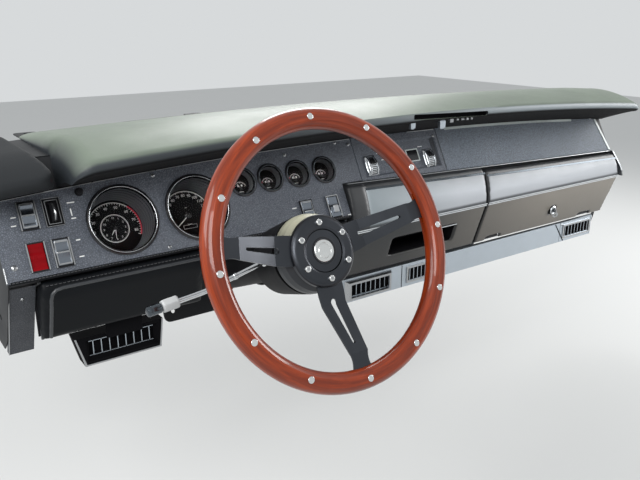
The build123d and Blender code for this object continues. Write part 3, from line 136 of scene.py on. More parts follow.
class Place:
    """A flat working frame with an origin and three directions, for points in millimetres."""

    def __init__(self, origin, right, up):
        self.origin = Vector(origin)
        self.right = Vector(right).normalized()
        self.out = self.right.cross(Vector(up)).normalized()
        self.up = self.out.cross(self.right)

    def at(self, x, y, out=0.0):
        return self.origin + self.right * x + self.up * y + self.out * out

    def moved(self, x, y, out=0.0):
        return Place(self.at(x, y, out), self.right, self.up)


def facing_front(origin):
    """A place whose outward direction is the object's front."""
    return Place(origin, (1, 0, 0), (0, 0, 1))


panel = Place(panel_origin, panel_right, panel_up)
wheel = Place(wheel_origin, panel_right, wheel_up)
brow_slot = Place(brow_slot_at, (1, 0, -0.036), (0, -0.1, 1))


def crown(x):
    """The height of the instrument panel's top edge."""
    return crown_height - crown_drop * (x / end_x) ** 2


def roll_top(x):
    """The Z of the padded roll's top edge."""
    return roll_top_left - roll_fall * (x - roll_left_x)


def face_y(z):
    """The Y of the padded face below its crease."""
    return crease_y + (crease_z - z) * (lower_y - crease_y) / (crease_z - lower_z)


def between(a, b, share):
    return a + (b - a) * share


# Shader groups


def shader_group(name, inputs, outputs):
    """A node group with named number inputs (name, value) and outputs."""
    group = bpy.data.node_groups.new(name, "ShaderNodeTree")
    for label, value in inputs:
        socket = group.interface.new_socket(label, in_out="INPUT", socket_type="NodeSocketFloat")
        socket.default_value = value
    for label in outputs:
        group.interface.new_socket(label, in_out="OUTPUT", socket_type="NodeSocketFloat")
    return group, group.nodes.new("NodeGroupInput"), group.nodes.new("NodeGroupOutput")


def add_node(tree, kind, links=(), **values):
    """A node with its settings; links are (input name or index, output socket or value)."""
    node = tree.nodes.new(kind)
    for key, value in values.items():
        if hasattr(node, key):
            setattr(node, key, value)
        else:
            node.inputs[key.replace("_", " ")].default_value = value
    for target, source in links:
        if isinstance(source, bpy.types.NodeSocket):
            tree.links.new(source, node.inputs[target])
        else:
            node.inputs[target].default_value = source
    return node


def feed(tree, node, **sources):
    """Links each source to the node's input of that name; Base_Color stands for Base Color."""
    for name, source in sources.items():
        tree.links.new(source, node.inputs[name.replace("_", " ")])


def calculate(tree, operation, *values):
    """The result of one math node."""
    return add_node(tree, "ShaderNodeMath", list(enumerate(values)), operation=operation).outputs[0]


def remap(tree, value, low, high, to_low=0.0, to_high=1.0):
    """The value moved from one range to another and held inside it."""
    ends = list(enumerate((value, low, high, to_low, to_high)))
    return add_node(tree, "ShaderNodeMapRange", ends).outputs["Result"]


def object_place(tree):
    return add_node(tree, "ShaderNodeTexCoord").outputs["Object"]


def split(tree, vector):
    """The X, Y and Z of a vector."""
    return add_node(tree, "ShaderNodeSeparateXYZ", [(0, vector)]).outputs


def surface_normal(tree):
    return split(tree, add_node(tree, "ShaderNodeNewGeometry").outputs["Normal"])


def product(tree, first, *others):
    """All the values multiplied together."""
    for other in others:
        first = calculate(tree, "MULTIPLY", first, other)
    return first


def noise(tree, where, scale, detail, **values):
    """Cloudy noise between 0 and 1."""
    links = [("Vector", where), ("Scale", scale)]
    return add_node(tree, "ShaderNodeTexNoise", links, Detail=detail, **values).outputs["Fac"]


def vinyl_grain_group():
    """Pebbled leather-like grain, as pressed into vinyl, with large soft blotches."""
    group, start, end = shader_group("vinyl grain", [("Cell", 700.0)], ["Height", "Blotch"])
    where = object_place(group)
    links = [("Vector", where), ("Scale", start.outputs["Cell"])]
    cells = add_node(group, "ShaderNodeTexVoronoi", links, feature="DISTANCE_TO_EDGE")
    edge = remap(group, cells.outputs["Distance"], 0.0, 0.28)
    fine = noise(group, where, 2600.0, 2.0)
    blotch = noise(group, where, 9.0, 4.0, Roughness=0.6)
    feed(group, end, Height=calculate(group, "MULTIPLY_ADD", edge, fine, 0.2), Blotch=blotch)
    return group


def dust_group():
    """Settled dust and sun fading, and in part a painted sheen: strongest on faces that look up, broken
    up by noise.
    """
    group, start, end = shader_group("settled dust and painted sheen", [("Start", 0.3), ("Full", 0.8)], ["Mask"])
    facing = remap(group, surface_normal(group)[2], start.outputs["Start"], start.outputs["Full"])
    cloud = noise(group, object_place(group), 14.0, 5.0)
    broken = remap(group, cloud, 0.3, 0.7, 0.82, 1.0)
    feed(group, end, Mask=product(group, facing, broken))
    return group


def brushed_group():
    """Fine straight lines along X, as on brushed metal."""
    group, start, end = shader_group("brushed lines", [("Fineness", 1600.0)], ["Lines"])
    x, y, z = split(group, object_place(group))
    thin = add_node(group, "ShaderNodeCombineXYZ", [(0, product(group, x, 0.02)), (1, y), (2, z)])
    feed(group, end, Lines=noise(group, thin.outputs[0], start.outputs["Fineness"], 3.0))
    return group


def smudge_group():
    """Finger marks and haze that change the gloss a little."""
    group, start, end = shader_group("smudges", [("Size", 25.0)], ["Haze", "Specks"])
    where = object_place(group)
    haze = noise(group, where, start.outputs["Size"], 5.0)
    feed(group, end, Haze=haze, Specks=noise(group, where, 1400.0, 1.0))
    return group


def wood_group():
    """Wood grain that runs round the rim: noise over angle, radius and depth about the wheel's axis."""
    inputs = [("Along", 0.35), ("Across", 26.0)]
    group, start, end = shader_group("rim grain", inputs, ["Grain", "Pores"])
    moved = add_node(group, "ShaderNodeVectorMath", [(0, object_place(group))], operation="SUBTRACT")
    moved.inputs[1].default_value = tuple(wheel_origin * MM)
    parts = []
    for direction in (panel_right, wheel_up, wheel_out):
        dot = add_node(group, "ShaderNodeVectorMath", [(0, moved.outputs[0])], operation="DOT_PRODUCT")
        dot.inputs[1].default_value = tuple(direction)
        parts.append(dot.outputs["Value"])
    right, up, depth = parts
    angle = calculate(group, "ABSOLUTE", calculate(group, "ARCTAN2", up, right))
    squares = [calculate(group, "POWER", part, 2.0) for part in (right, up)]
    radius = calculate(group, "SQRT", calculate(group, "ADD", *squares))
    stretched = [product(group, angle, start.outputs["Along"])]
    stretched += [product(group, part, start.outputs["Across"]) for part in (radius, depth)]
    spread = add_node(group, "ShaderNodeCombineXYZ", list(enumerate(stretched))).outputs[0]
    grain = noise(group, spread, 5.0, 6.0, Roughness=0.6, Distortion=0.25)
    feed(group, end, Grain=grain, Pores=noise(group, spread, 34.0, 3.0))
    return group


VINYL_GRAIN = vinyl_grain_group()
DUST_AND_PAINTED_SHEEN = dust_group()
BRUSHED = brushed_group()
SMUDGES = smudge_group()
RIM_GRAIN = wood_group()


# Materials


coat_roughness = 0.08


def material(name, colour, roughness, metallic=0.0, **settings):
    """A material with its Principled shader; Coat_Weight stands for the input Coat Weight."""
    made = bpy.data.materials.new(name)
    made.use_nodes = True
    shader = made.node_tree.nodes["Principled BSDF"]
    shader.inputs["Base Color"].default_value = (*colour, 1)
    shader.inputs["Roughness"].default_value = roughness
    shader.inputs["Metallic"].default_value = metallic
    for key, value in settings.items():
        shader.inputs[key.replace("_", " ")].default_value = value
    return made, made.node_tree, shader


def place_group(tree, group, **values):
    """A copy of a shared effect with this material's own values."""
    node = tree.nodes.new("ShaderNodeGroup")
    node.node_tree = group
    for key, value in values.items():
        node.inputs[key].default_value = value
    return node.outputs


def add_bump(tree, shader, height, strength, distance):
    """Surface relief on a material; the distance is in metres."""
    bump = add_node(tree, "ShaderNodeBump", [("Height", height)], Strength=strength, Distance=distance)
    feed(tree, shader, Normal=bump.outputs["Normal"])


def lighter(colour, share):
    return tuple(share * part for part in colour)


def mix_colours(tree, share, first, second):
    """Two colours mixed by a mask; each may be a colour or a socket."""
    mix = add_node(tree, "ShaderNodeMix", data_type="RGBA")
    feed(tree, mix, Factor=share)
    for socket, value in ((mix.inputs[6], first), (mix.inputs[7], second)):
        if isinstance(value, bpy.types.NodeSocket):
            tree.links.new(value, socket)
        else:
            socket.default_value = (*value, 1)
    return mix.outputs[2]


def vinyl(name, colour, roughness, gloss=0.3, cell=700.0, depth=0.25, faded=None, painted_sheen_and_fading_range=(0.3, 0.85)):
    """Grained vinyl, paler where the sun and dust reach it, and in part with a painted sheen on faces
    that look up.
    """
    made, tree, shader = material(name, colour, roughness, Specular_IOR_Level=gloss)
    grain = place_group(tree, VINYL_GRAIN, Cell=cell)
    add_bump(tree, shader, grain["Height"], depth, 0.0004)
    tone = mix_colours(tree, grain["Blotch"], lighter(colour, 0.8), lighter(colour, 1.2))
    # Paler tone on faces that look up: sun fading and dust with a painted sheen; on the adapter only a
    # painted reflection.
    if faded:
        mask = place_group(tree, DUST_AND_PAINTED_SHEEN, Start=painted_sheen_and_fading_range[0], Full=painted_sheen_and_fading_range[1])["Mask"]
        tone = mix_colours(tree, mask, tone, faded)
    rough = remap(tree, grain["Blotch"], 0.2, 0.8, roughness - 0.06, roughness + 0.08)
    feed(tree, shader, Base_Color=tone, Roughness=rough)
    return made


def bright_metal(name, colour, roughness, brushed=0.0, haze=0.08):
    """Polished or brushed metal with haze and finger marks."""
    made, tree, shader = material(name, colour, roughness, 1.0)
    smudges = place_group(tree, SMUDGES, Size=40.0)
    rough = remap(tree, smudges["Haze"], 0.3, 0.7, roughness, roughness + haze)
    height = smudges["Specks"]
    if brushed:
        height = place_group(tree, BRUSHED)["Lines"]
        rough = calculate(tree, "ADD", rough, product(tree, height, brushed * 0.15))
    feed(tree, shader, Roughness=rough)
    tone = mix_colours(tree, smudges["Haze"], lighter(colour, 0.86), colour)
    feed(tree, shader, Base_Color=tone)
    add_bump(tree, shader, height, 0.05 + 0.1 * brushed, 0.0001)
    return made


def edge_trim(name):
    """Chrome trim of the padded faces, painted dark along the top edge as shade and bright at their
    crease.
    """
    made, tree, shader = material(name, (0.5, 0.5, 0.5), 0.2, 1.0)
    height = split(tree, object_place(tree))[2]
    # Painted shade: the trim turns dark and less metallic above the crease, along the top edge.
    low = remap(tree, height, (crease_z + 4) * MM, (crease_z + 1) * MM)
    smudges = place_group(tree, SMUDGES, Size=30.0)
    bright = mix_colours(tree, smudges["Haze"], (0.6, 0.63, 0.66), (0.75, 0.78, 0.8))
    feed(tree, shader, Base_Color=mix_colours(tree, low, (0.07, 0.08, 0.09), bright))
    feed(tree, shader, Roughness=remap(tree, smudges["Haze"], 0.3, 0.7, 0.16, 0.26))
    feed(tree, shader, Metallic=remap(tree, low, 0.0, 1.0, 1.0, 0.4))
    add_bump(tree, shader, smudges["Specks"], 0.08, 0.0001)
    return made


def paint(name, colour, roughness, metallic=0.0, coat=0.0, gloss=0.3, specks=0.12):
    """Enamel, anodising or moulded plastic with haze and fine specks."""
    clear = {"Specular_IOR_Level": gloss, "Coat_Weight": coat, "Coat_Roughness": coat_roughness}
    made, tree, shader = material(name, colour, roughness, metallic, **clear)
    smudges = place_group(tree, SMUDGES, Size=18.0)
    tone = mix_colours(tree, smudges["Haze"], lighter(colour, 0.75), lighter(colour, 1.25))
    rough = remap(tree, smudges["Haze"], 0.3, 0.7, roughness - 0.04, roughness + 0.08)
    feed(tree, shader, Base_Color=tone, Roughness=rough)
    add_bump(tree, shader, smudges["Specks"], specks, 0.0002)
    return made


def crackle_paint(name, colour):
    """Textured crackle finish of the instrument panels, dark in its cracks."""
    made, tree, shader = material(name, colour, 0.5)
    grain = place_group(tree, VINYL_GRAIN, Cell=340.0)
    smudges = place_group(tree, SMUDGES, Size=12.0)
    tone = mix_colours(tree, grain["Height"], lighter(colour, 0.15), lighter(colour, 1.75))
    dust = product(tree, remap(tree, smudges["Haze"], 0.45, 0.75), 0.1)
    feed(tree, shader, Base_Color=mix_colours(tree, dust, tone, (0.3, 0.32, 0.34)))
    feed(tree, shader, Roughness=remap(tree, grain["Height"], 0.0, 1.0, 0.62, 0.4))
    add_bump(tree, shader, grain["Height"], 0.8, 0.001)
    return made


def lacquered_wood():
    """Orange-brown wood under clear lacquer."""
    lacquer = {"Specular_IOR_Level": 0.2, "Coat_Weight": 0.6, "Coat_Roughness": coat_roughness}
    made, tree, shader = material("lacquered rim wood", (0.4, 0.08, 0.02), 0.3, **lacquer)
    grain = place_group(tree, RIM_GRAIN)
    ramp = add_node(tree, "ShaderNodeValToRGB", [(0, grain["Grain"])])
    stops = ramp.color_ramp.elements
    stops[0].position, stops[0].color = 0.26, (0.085, 0.009, 0.002, 1)
    stops[1].position, stops[1].color = 0.78, (0.4, 0.052, 0.006, 1)
    stops.new(0.5).color = (0.215, 0.025, 0.003, 1)
    pores = product(tree, remap(tree, grain["Pores"], 0.56, 0.7), 0.45)
    tone = mix_colours(tree, pores, ramp.outputs["Color"], (0.12, 0.02, 0.006))
    feed(tree, shader, Base_Color=tone)
    feed(tree, shader, Roughness=remap(tree, grain["Grain"], 0.3, 0.7, 0.26, 0.4))
    add_bump(tree, shader, grain["Pores"], 0.04, 0.0002)
    return made


def padded_face(name, strip_drop):
    """Roll and glovebox door cover with light and shade painted in: a black edge, a pale pewter tone
    above the crease as a painted reflection of a bright sky on black vinyl, painted shade along its top
    and over the crease, and a painted reflection on the lower face, black at the left and brown-grey
    toward the right, darkening as painted shade to the foot and on sides and undersides.
    """
    made, tree, shader = material(name, (0.02, 0.02, 0.02), 0.4)
    across, _, height = split(tree, object_place(tree))
    grain = place_group(tree, VINYL_GRAIN, Cell=800.0)
    haze = place_group(tree, SMUDGES, Size=16.0)["Haze"]

    # The pewter face, a painted reflection, lies between the strip, the crease and the border, and
    # stops at rounded ends.
    strip_foot = (roll_top_left + roll_fall * roll_left_x - strip_drop - strip_width / 2) * MM
    strip_line = calculate(tree, "SUBTRACT", strip_foot, product(tree, across, roll_fall))
    below_strip = calculate(tree, "LESS_THAN", height, strip_line)
    above_crease = calculate(tree, "GREATER_THAN", height, (crease_z - 1.5) * MM)
    inside_border = calculate(tree, "GREATER_THAN", across, (border_right_x + strip_width / 2) * MM)
    normal = surface_normal(tree)
    # Faces turned sideways or downward stay out of the face and are painted black as shade.
    facing = remap(tree, calculate(tree, "ABSOLUTE", normal[0]), 0.32, 0.1)
    facing = product(tree, facing, remap(tree, normal[2], -0.75, -0.5))
    face = product(tree, below_strip, above_crease, inside_border, facing)

    # Painted shade: the pewter darkens toward the strip at the top.
    shade = remap(tree, calculate(tree, "SUBTRACT", strip_line, height), 0.0, 0.03)
    # Painted reflection: pale pewter in place of the sky reflected in black vinyl, dimmer toward the
    # left.
    pewter = mix_colours(tree, shade, (0.22, 0.23, 0.24), (0.46, 0.48, 0.51))
    pewter = mix_colours(tree, remap(tree, across, -0.08, 0.16), (0.26, 0.3, 0.32), pewter)
    # Painted shade just above the crease.
    crease_painted_shade = remap(tree, height, (crease_z + 7) * MM, (crease_z + 2.5) * MM, 0.0, 0.85)
    pewter = mix_colours(tree, crease_painted_shade, pewter, (0.04, 0.043, 0.047))
    # Painted reflection on the lower face: black at the left, brown-grey toward the right.
    painted_reflection_rightward = remap(tree, across, 0.03, 0.46)
    painted_reflection_tone = mix_colours(tree, painted_reflection_rightward, (0.006, 0.008, 0.01), (0.235, 0.21, 0.176))
    # Painted shade toward the foot, and black on sides and undersides.
    foot = remap(tree, height, lower_z * MM, (crease_z - 20) * MM, 0.55, 1.0)
    lower = mix_colours(tree, foot, (0.03, 0.026, 0.022), painted_reflection_tone)
    lower = mix_colours(tree, facing, (0.012, 0.012, 0.012), lower)
    edge = mix_colours(tree, above_crease, lower, (0.018, 0.02, 0.023))
    tone = mix_colours(tree, face, edge, pewter)
    tone = mix_colours(tree, product(tree, haze, 0.07), tone, (0.3, 0.29, 0.28))
    feed(tree, shader, Base_Color=tone)
    feed(tree, shader, Metallic=product(tree, face, 0.55))
    rough = calculate(tree, "MULTIPLY_ADD", face, 0.12, remap(tree, haze, 0.3, 0.7, 0.32, 0.42))
    feed(tree, shader, Roughness=rough)
    add_bump(tree, shader, grain["Height"], 0.16, 0.0003)
    return made


def nose_light(finish):
    """A paler tone on the upright nose toward the right as a painted sheen, and a dull black underside
    as painted shade.
    """
    tree = finish.node_tree
    shader = tree.nodes["Principled BSDF"]
    old_tone = shader.inputs["Base Color"].links[0].from_socket
    old_rough = shader.inputs["Roughness"].links[0].from_socket
    normal = surface_normal(tree)
    across = split(tree, object_place(tree))[0]
    upright = remap(tree, normal[1], -0.6, -0.95)
    right = remap(tree, across, -0.25, 0.25, 0.1, 1.0)
    below = remap(tree, normal[2], -0.2, -0.6)
    # Painted sheen on the nose and painted shade on the underside.
    lit = mix_colours(tree, product(tree, upright, right, 0.85), old_tone, (0.3, 0.34, 0.36))
    feed(tree, shader, Base_Color=mix_colours(tree, below, lit, (0.004, 0.004, 0.005)))
    feed(tree, shader, Roughness=calculate(tree, "MULTIPLY_ADD", below, 0.6, old_rough))


def clear_glass(name):
    """Thin clear glass with faint wiping marks."""
    made, tree, shader = material(name, (1, 1, 1), 0.02, Transmission_Weight=1.0, IOR=1.12)
    smudges = place_group(tree, SMUDGES, Size=60.0)
    feed(tree, shader, Roughness=remap(tree, smudges["Haze"], 0.3, 0.7, 0.0, 0.004))
    add_bump(tree, shader, smudges["Haze"], 0.02, 0.0001)
    return made


pad_vinyl = vinyl("black vinyl of the pads", (0.005, 0.006, 0.0075), 0.42, gloss=0.14)
cap_vinyl = vinyl("dull vinyl of the corner cap", (0.02, 0.022, 0.024), 0.7, gloss=0.15)
# The top pad's paler upward faces are partly sun fading and dust and partly a painted sheen; its nose
# gets a painted sheen and painted shade.
top_vinyl = vinyl(
    "sun-faded vinyl of the top pad", (0.022, 0.026, 0.03), 0.42,
    cell=520.0, faded=(0.2, 0.238, 0.188), painted_sheen_and_fading_range=(0.3, 0.93),
)
nose_light(top_vinyl)
thread = vinyl("black sewing thread", (0.09, 0.09, 0.095), 0.6, cell=2400.0)
rubbed_vinyl = vinyl("rubbed vinyl of the seams", (0.035, 0.038, 0.042), 0.22, gloss=0.6)
roll_cover = padded_face("cover of the padded roll", roll_strip_drop)
door_cover = padded_face("cover of the glovebox door", door_strip_drop)
panel_crackle = crackle_paint("crackle finish of the panels", (0.112, 0.127, 0.156))
# Copies of the crackle finish: the darker ones are painted shade, the paler one a painted reflection.
dark_crackle = crackle_paint("crackle finish in shade", (0.045, 0.05, 0.062))
shaded_crackle = crackle_paint("crackle finish of the slope in painted shade", (0.035, 0.04, 0.05))
pale_crackle = crackle_paint("crackle finish that catches the light", (0.145, 0.175, 0.215))
black_plastic = paint("black moulded plastic", (0.011, 0.011, 0.013), 0.5, gloss=0.2)
dial_black = paint("matt black of the dials", (0.006, 0.006, 0.007), 0.85, gloss=0.05, specks=0.02)
cone_grey = paint("grey wall of the gauges", (0.1, 0.105, 0.115), 0.34)
frame_steel = paint("dark painted steel", (0.014, 0.015, 0.017), 0.55)
chrome = bright_metal("chrome", (0.72, 0.74, 0.76), 0.08)
trim_chrome = edge_trim("trim of the padded faces")
# A pale enamel in place of bright metal: a painted highlight on the trim strips in the pad's shadow.
highlight_painted_trim = paint("pale trim as a painted highlight", (0.6, 0.65, 0.63), 0.3)
satin = bright_metal("satin aluminium", (0.5, 0.55, 0.6), 0.3, brushed=1.0)
silver = bright_metal("polished silver", (0.44, 0.45, 0.46), 0.26)
polished_rivet = bright_metal("polished rivets", (0.8, 0.81, 0.8), 0.2)
rocker_chrome = bright_metal("smoked chrome of the rockers", (0.22, 0.245, 0.28), 0.16)
pewter_edge = bright_metal("dull pewter edge", (0.2, 0.21, 0.22), 0.3)
# The pale top of the adapter is a painted reflection.
adapter_finish = vinyl(
    "dark adapter with a painted reflection on top", (0.03, 0.033, 0.037), 0.3,
    depth=0.02, faded=(0.5, 0.49, 0.36), painted_sheen_and_fading_range=(0.35, 0.95),
)
dark_chrome = bright_metal("dark chrome", (0.11, 0.125, 0.14), 0.14)
dull_black = paint("dull black of the column", (0.008, 0.008, 0.009), 0.5, gloss=0.12)
gloss_black = paint("glossy black enamel", (0.01, 0.01, 0.012), 0.14, coat=0.6)
anodised = paint("black anodised aluminium", (0.058, 0.062, 0.07), 0.32, metallic=1.0)
red_lens = paint("red lamp lens", (0.24, 0.0, 0.003), 0.3, gloss=0.15)
dial_white = paint("white dial print", (0.86, 0.87, 0.85), 0.5)
dial_red = paint("red dial print", (0.62, 0.03, 0.06), 0.5)
white_collar = paint("white enamel collar", (0.5, 0.51, 0.51), 0.26)
rim_wood = lacquered_wood()
lens_glass = clear_glass("gauge glass")

finishes = {
    frame_steel: (
        "face_sheet", "top_sheet", "frame_shelves", "frame_web", "end_plates", "door_back",
        "door_hinges", "column_bearings", "column_bracket", "toe_plate", "steering_shaft",
    ),
    panel_crackle: ("cluster_bezel", "heater_panel"),
    dark_crackle: ("end_block", "end_cheek"),
    pale_crackle: ("passenger_panel",),
    black_plastic: ("switch_housings", "vent_slats", "glovebox_bin"),
    dial_black: ("large_gauges", "small_gauges", "cubby", "driver_vent"),
    gloss_black: ("gauge_rings",),
    dull_black: ("column_jacket", "signal_housing"),
    chrome: ("signal_lever",),
    trim_chrome: ("roll_trims", "door_trims"),
    dark_chrome: ("glovebox_lock",),
    adapter_finish: ("hub_adapter",),
    satin: ("lower_band",),
    polished_rivet: ("rim_rivets", "hub_bolts"),
    silver: ("vent_frames",),
    pewter_edge: ("cheek_trim",),
    highlight_painted_trim: ("panel_trims",),
    anodised: ("wheel_spokes", "hub_ring", "horn_button"),
    lens_glass: ("gauge_lenses",),
    rim_wood: ("wheel_rim",),
}
for finish, names in finishes.items():
    for name in names:
        nodes[name].data.materials.clear()
        nodes[name].data.materials.append(finish)


# Mesh making: shapes are gathered as points in millimetres and faces


def linked(name, data):
    """A new object in the scene."""
    made = bpy.data.objects.new(name, data)
    bpy.context.scene.collection.objects.link(made)
    return made


def mesh_shown(made):
    """The mesh that an object shows, with its modifiers applied."""
    graph = bpy.context.evaluated_depsgraph_get()
    return bpy.data.meshes.new_from_object(made.evaluated_get(graph))


class Shape:
    """Points and faces that are gathered before they become one piece."""

    def __init__(self):
        self.points = []
        self.faces = []

    def add(self, points, faces):
        base = len(self.points)
        self.points += [Vector(p) for p in points]
        self.faces += [tuple(base + i for i in face) for face in faces]
        return self

    def loft(self, rings, closed=False):
        """A skin through rings of equal length, with flat ends unless it closes on itself."""
        count = len(rings[0])
        pairs = [(i, (i + 1) % count) for i in range(count)]
        faces = []
        for r in range(len(rings) if closed else len(rings) - 1):
            near, far = r * count, (r + 1) % len(rings) * count
            faces += [(near + i, near + j, far + j, far + i) for i, j in pairs]
        if not closed:
            last = (len(rings) - 1) * count
            faces += [tuple(reversed(range(count))), tuple(range(last, last + count))]
        return self.add([p for ring in rings for p in ring], faces)

    def tube(self, path, radius, sides=10, closed=False):
        """A round bar along a path; radius may be one number or one for each point."""
        path = [Vector(p) for p in path]
        rings = []
        side = None
        for i, point in enumerate(path):
            before = path[i - 1] if i or closed else point
            after = path[(i + 1) % len(path)] if i < len(path) - 1 or closed else point
            along = (after - before).normalized()
            side = (side - along * side.dot(along) if side else along.orthogonal()).normalized()
            r = radius[i] if isinstance(radius, (list, tuple)) else radius
            rings.append(ring_about(point, along, side, r, sides))
        return self.loft(rings, closed=closed)

    def lathe(self, place, profile, steps=48):
        """A profile of (radius, height) turned about a place's outward axis."""
        points = [place.at(r * cos(t), r * sin(t), h) for t in turns(steps) for r, h in profile]
        count = len(profile)
        faces = []
        for i in range(steps):
            near, far = i * count, (i + 1) % steps * count
            faces += [(near + k, far + k, far + k + 1, near + k + 1) for k in range(count - 1)]
        return self.add(points, faces)

    def slab(self, place, outline, low, high, bevel=0.0):
        """A flat outline with thickness and an optional bevelled front edge."""
        middle = sum((Vector(p) for p in outline), Vector((0, 0))) / len(outline)
        rings = [[place.at(x, y, out) for x, y in outline] for out in (low, high - bevel)]
        if bevel:
            size = max((Vector(p) - middle).length for p in outline)
            inner = [middle + (Vector(p) - middle) * (1 - 1.2 * bevel / size) for p in outline]
            rings.append([place.at(x, y, high) for x, y in inner])
        return self.loft(rings)

    def block(self, place, width, height, radius, low, high, bevel=0.0, steps=4):
        """A slab with the outline of a rounded rectangle."""
        return self.slab(place, rounded_rectangle(width, height, radius, steps), low, high, bevel)

    def stroke(self, place, p, q, width, low=0.0, high=print_height):
        """A thin raised line between two places."""
        p, q = Vector(p), Vector(q)
        across = (q - p).normalized() * width / 2
        across = Vector((-across.y, across.x))
        return self.slab(place, [p - across, q - across, q + across, p + across], low, high)

    def band(self, place, inner, outer, first, last, steps=40):
        """Part of a flat printed ring between two angles in degrees."""
        corners = ((inner, 0), (outer, 0), (outer, print_height), (inner, print_height))
        rings = []
        for i in range(steps + 1):
            t = radians(between(first, last, i / steps))
            rings.append([place.at(r * cos(t), r * sin(t), out) for r, out in corners])
        return self.loft(rings)

    def word(self, place, text, centre, size):
        """A number as flat letters."""
        curve = bpy.data.curves.new("number", "FONT")
        curve.body = text
        curve.size = size
        curve.align_x = "CENTER"
        curve.align_y = "CENTER"
        curve.resolution_u = 2
        letters = linked("number", curve)
        mesh = mesh_shown(letters)
        points = [place.at(centre[0] + v.co.x, centre[1] + v.co.y, 0.1) for v in mesh.vertices]
        self.add(points, [tuple(face.vertices) for face in mesh.polygons])
        bpy.data.objects.remove(letters)
        bpy.data.curves.remove(curve)
        bpy.data.meshes.remove(mesh)
        return self


def new_shapes(count):
    return [Shape() for _ in range(count)]


def turns(count):
    return [2 * pi * i / count for i in range(count)]


def ring_about(point, along, side, radius, sides):
    """A ring of points round an axis."""
    other = along.cross(side)
    return [point + (side * cos(t) + other * sin(t)) * radius for t in turns(sides)]


def rounded_rectangle(width, height, radius, steps=4):
    """An outline with rounded corners about the place's own middle."""
    points = []
    for corner, (sx, sy) in enumerate(((1, 1), (-1, 1), (-1, -1), (1, -1))):
        cx, cy = sx * (width / 2 - radius), sy * (height / 2 - radius)
        for i in range(steps + 1):
            t = pi / 2 * (corner + i / steps)
            points.append((cx + radius * cos(t), cy + radius * sin(t)))
    return points


def as_object(name, shape):
    """The object of a shape, in metres, with its faces turned outward."""
    mesh = bpy.data.meshes.new(name)
    mesh.from_pydata([p * MM for p in shape.points], [], shape.faces)
    tidy = bmesh.new()
    tidy.from_mesh(mesh)
    bmesh.ops.recalc_face_normals(tidy, faces=tidy.faces)
    tidy.to_mesh(mesh)
    tidy.free()
    return linked(name, mesh)


def apply_modifiers(made):
    """The object's mesh becomes what its modifiers show."""
    mesh = mesh_shown(made)
    made.modifiers.clear()
    made.data = mesh
    return made


def dress(made, finish, body, sharp, replaced=()):
    """Finish, shading and body of one piece, with crisp edges above an angle in degrees."""
    made.data.materials.clear()
    made.data.materials.append(finish)
    made.data.shade_smooth()
    made.data.set_sharp_from_angle(angle=radians(sharp))
    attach(made, body)
    if replaced:
        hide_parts(*replaced)


def add_piece(name, shape, finish, sharp, body="dash", replaced=()):
    dress(as_object(name, shape), finish, body, sharp, replaced)


# Padded pieces


def three_point_arc(p, q, r, steps):
    """Points on the arc from p through q to r, without the last."""
    (ax, ay), (bx, by), (cx, cy) = p, q, r
    d = 2 * (ax * (by - cy) + bx * (cy - ay) + cx * (ay - by))
    a2, b2, c2 = ax * ax + ay * ay, bx * bx + by * by, cx * cx + cy * cy
    ux = (a2 * (by - cy) + b2 * (cy - ay) + c2 * (ay - by)) / d
    uy = (a2 * (cx - bx) + b2 * (ax - cx) + c2 * (bx - ax)) / d
    radius = hypot(ax - ux, ay - uy)
    first, middle, last = (atan2(y - uy, x - ux) for x, y in (p, q, r))
    turn = (last - first) % (2 * pi)
    if (middle - first) % (2 * pi) > turn:
        turn -= 2 * pi
    angles = [first + turn * i / steps for i in range(steps)]
    return [(ux + radius * cos(t), uy + radius * sin(t)) for t in angles]


pad_low, pad_high = (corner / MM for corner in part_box("dash_pad"))
pad_left_x, pad_right_x = pad_low.x, pad_high.x
pad_section_x = 740
pad_nose_y = -350
pad_crest_y = -220
pad_foot_z = 0.35
pad_fold_y = -225
pad_corner = 26
pad_left_round = 32
pad_right_round = 40
pad_round_z = -28
air_slot_x = 330
air_slot_length = 226
air_slot_width = 18
# Z of the lip and of the crest, Y and Z of the forward edge: at the pad's middle and near its ends.
pad_middle = (10, 40, 50, 3)
pad_end = (-22.1, 19.6, -78, 8)


def pad_section(x):
    """One section of the padded top, from the panel's edge round the nose to its thin forward edge."""
    share = (x / pad_section_x) ** 2
    lip_z, crest_z, front_y, front_z = (between(a, b, share) for a, b in zip(pad_middle, pad_end))
    edge = panel.at(x, crown(x) + 0.5)
    back = panel.at(x, crown(x) + 0.5, -3)
    points = []
    for t in (0, 0.3, 0.6, 0.85, 0.96):
        points.append((between(edge.y, pad_nose_y, t), between(edge.z, lip_z, t)))
    nose_top = (pad_nose_y - 2, lip_z + 17)
    brow = (pad_nose_y + 50, crest_z * 0.86 + lip_z * 0.14 + 1)
    points += three_point_arc((pad_nose_y, lip_z), (pad_nose_y - 5, lip_z + 8), nose_top, 6)
    points += three_point_arc(nose_top, brow, (pad_crest_y, crest_z), 12)
    for t in (0, 0.2, 0.4, 0.6, 0.8, 0.97):
        rise = 2.2 * sin(pi * t)
        points.append((between(pad_crest_y, front_y, t), between(crest_z, front_z, t) + rise))
    points += [(front_y, front_z * 0.6), (front_y, pad_foot_z)]
    points += [(between(front_y, pad_fold_y, 0.5), pad_foot_z), (pad_fold_y, pad_foot_z)]
    points += [(between(pad_fold_y, back.y, 0.5), between(pad_foot_z, back.z, 0.5)), (back.y, back.z)]
    return points


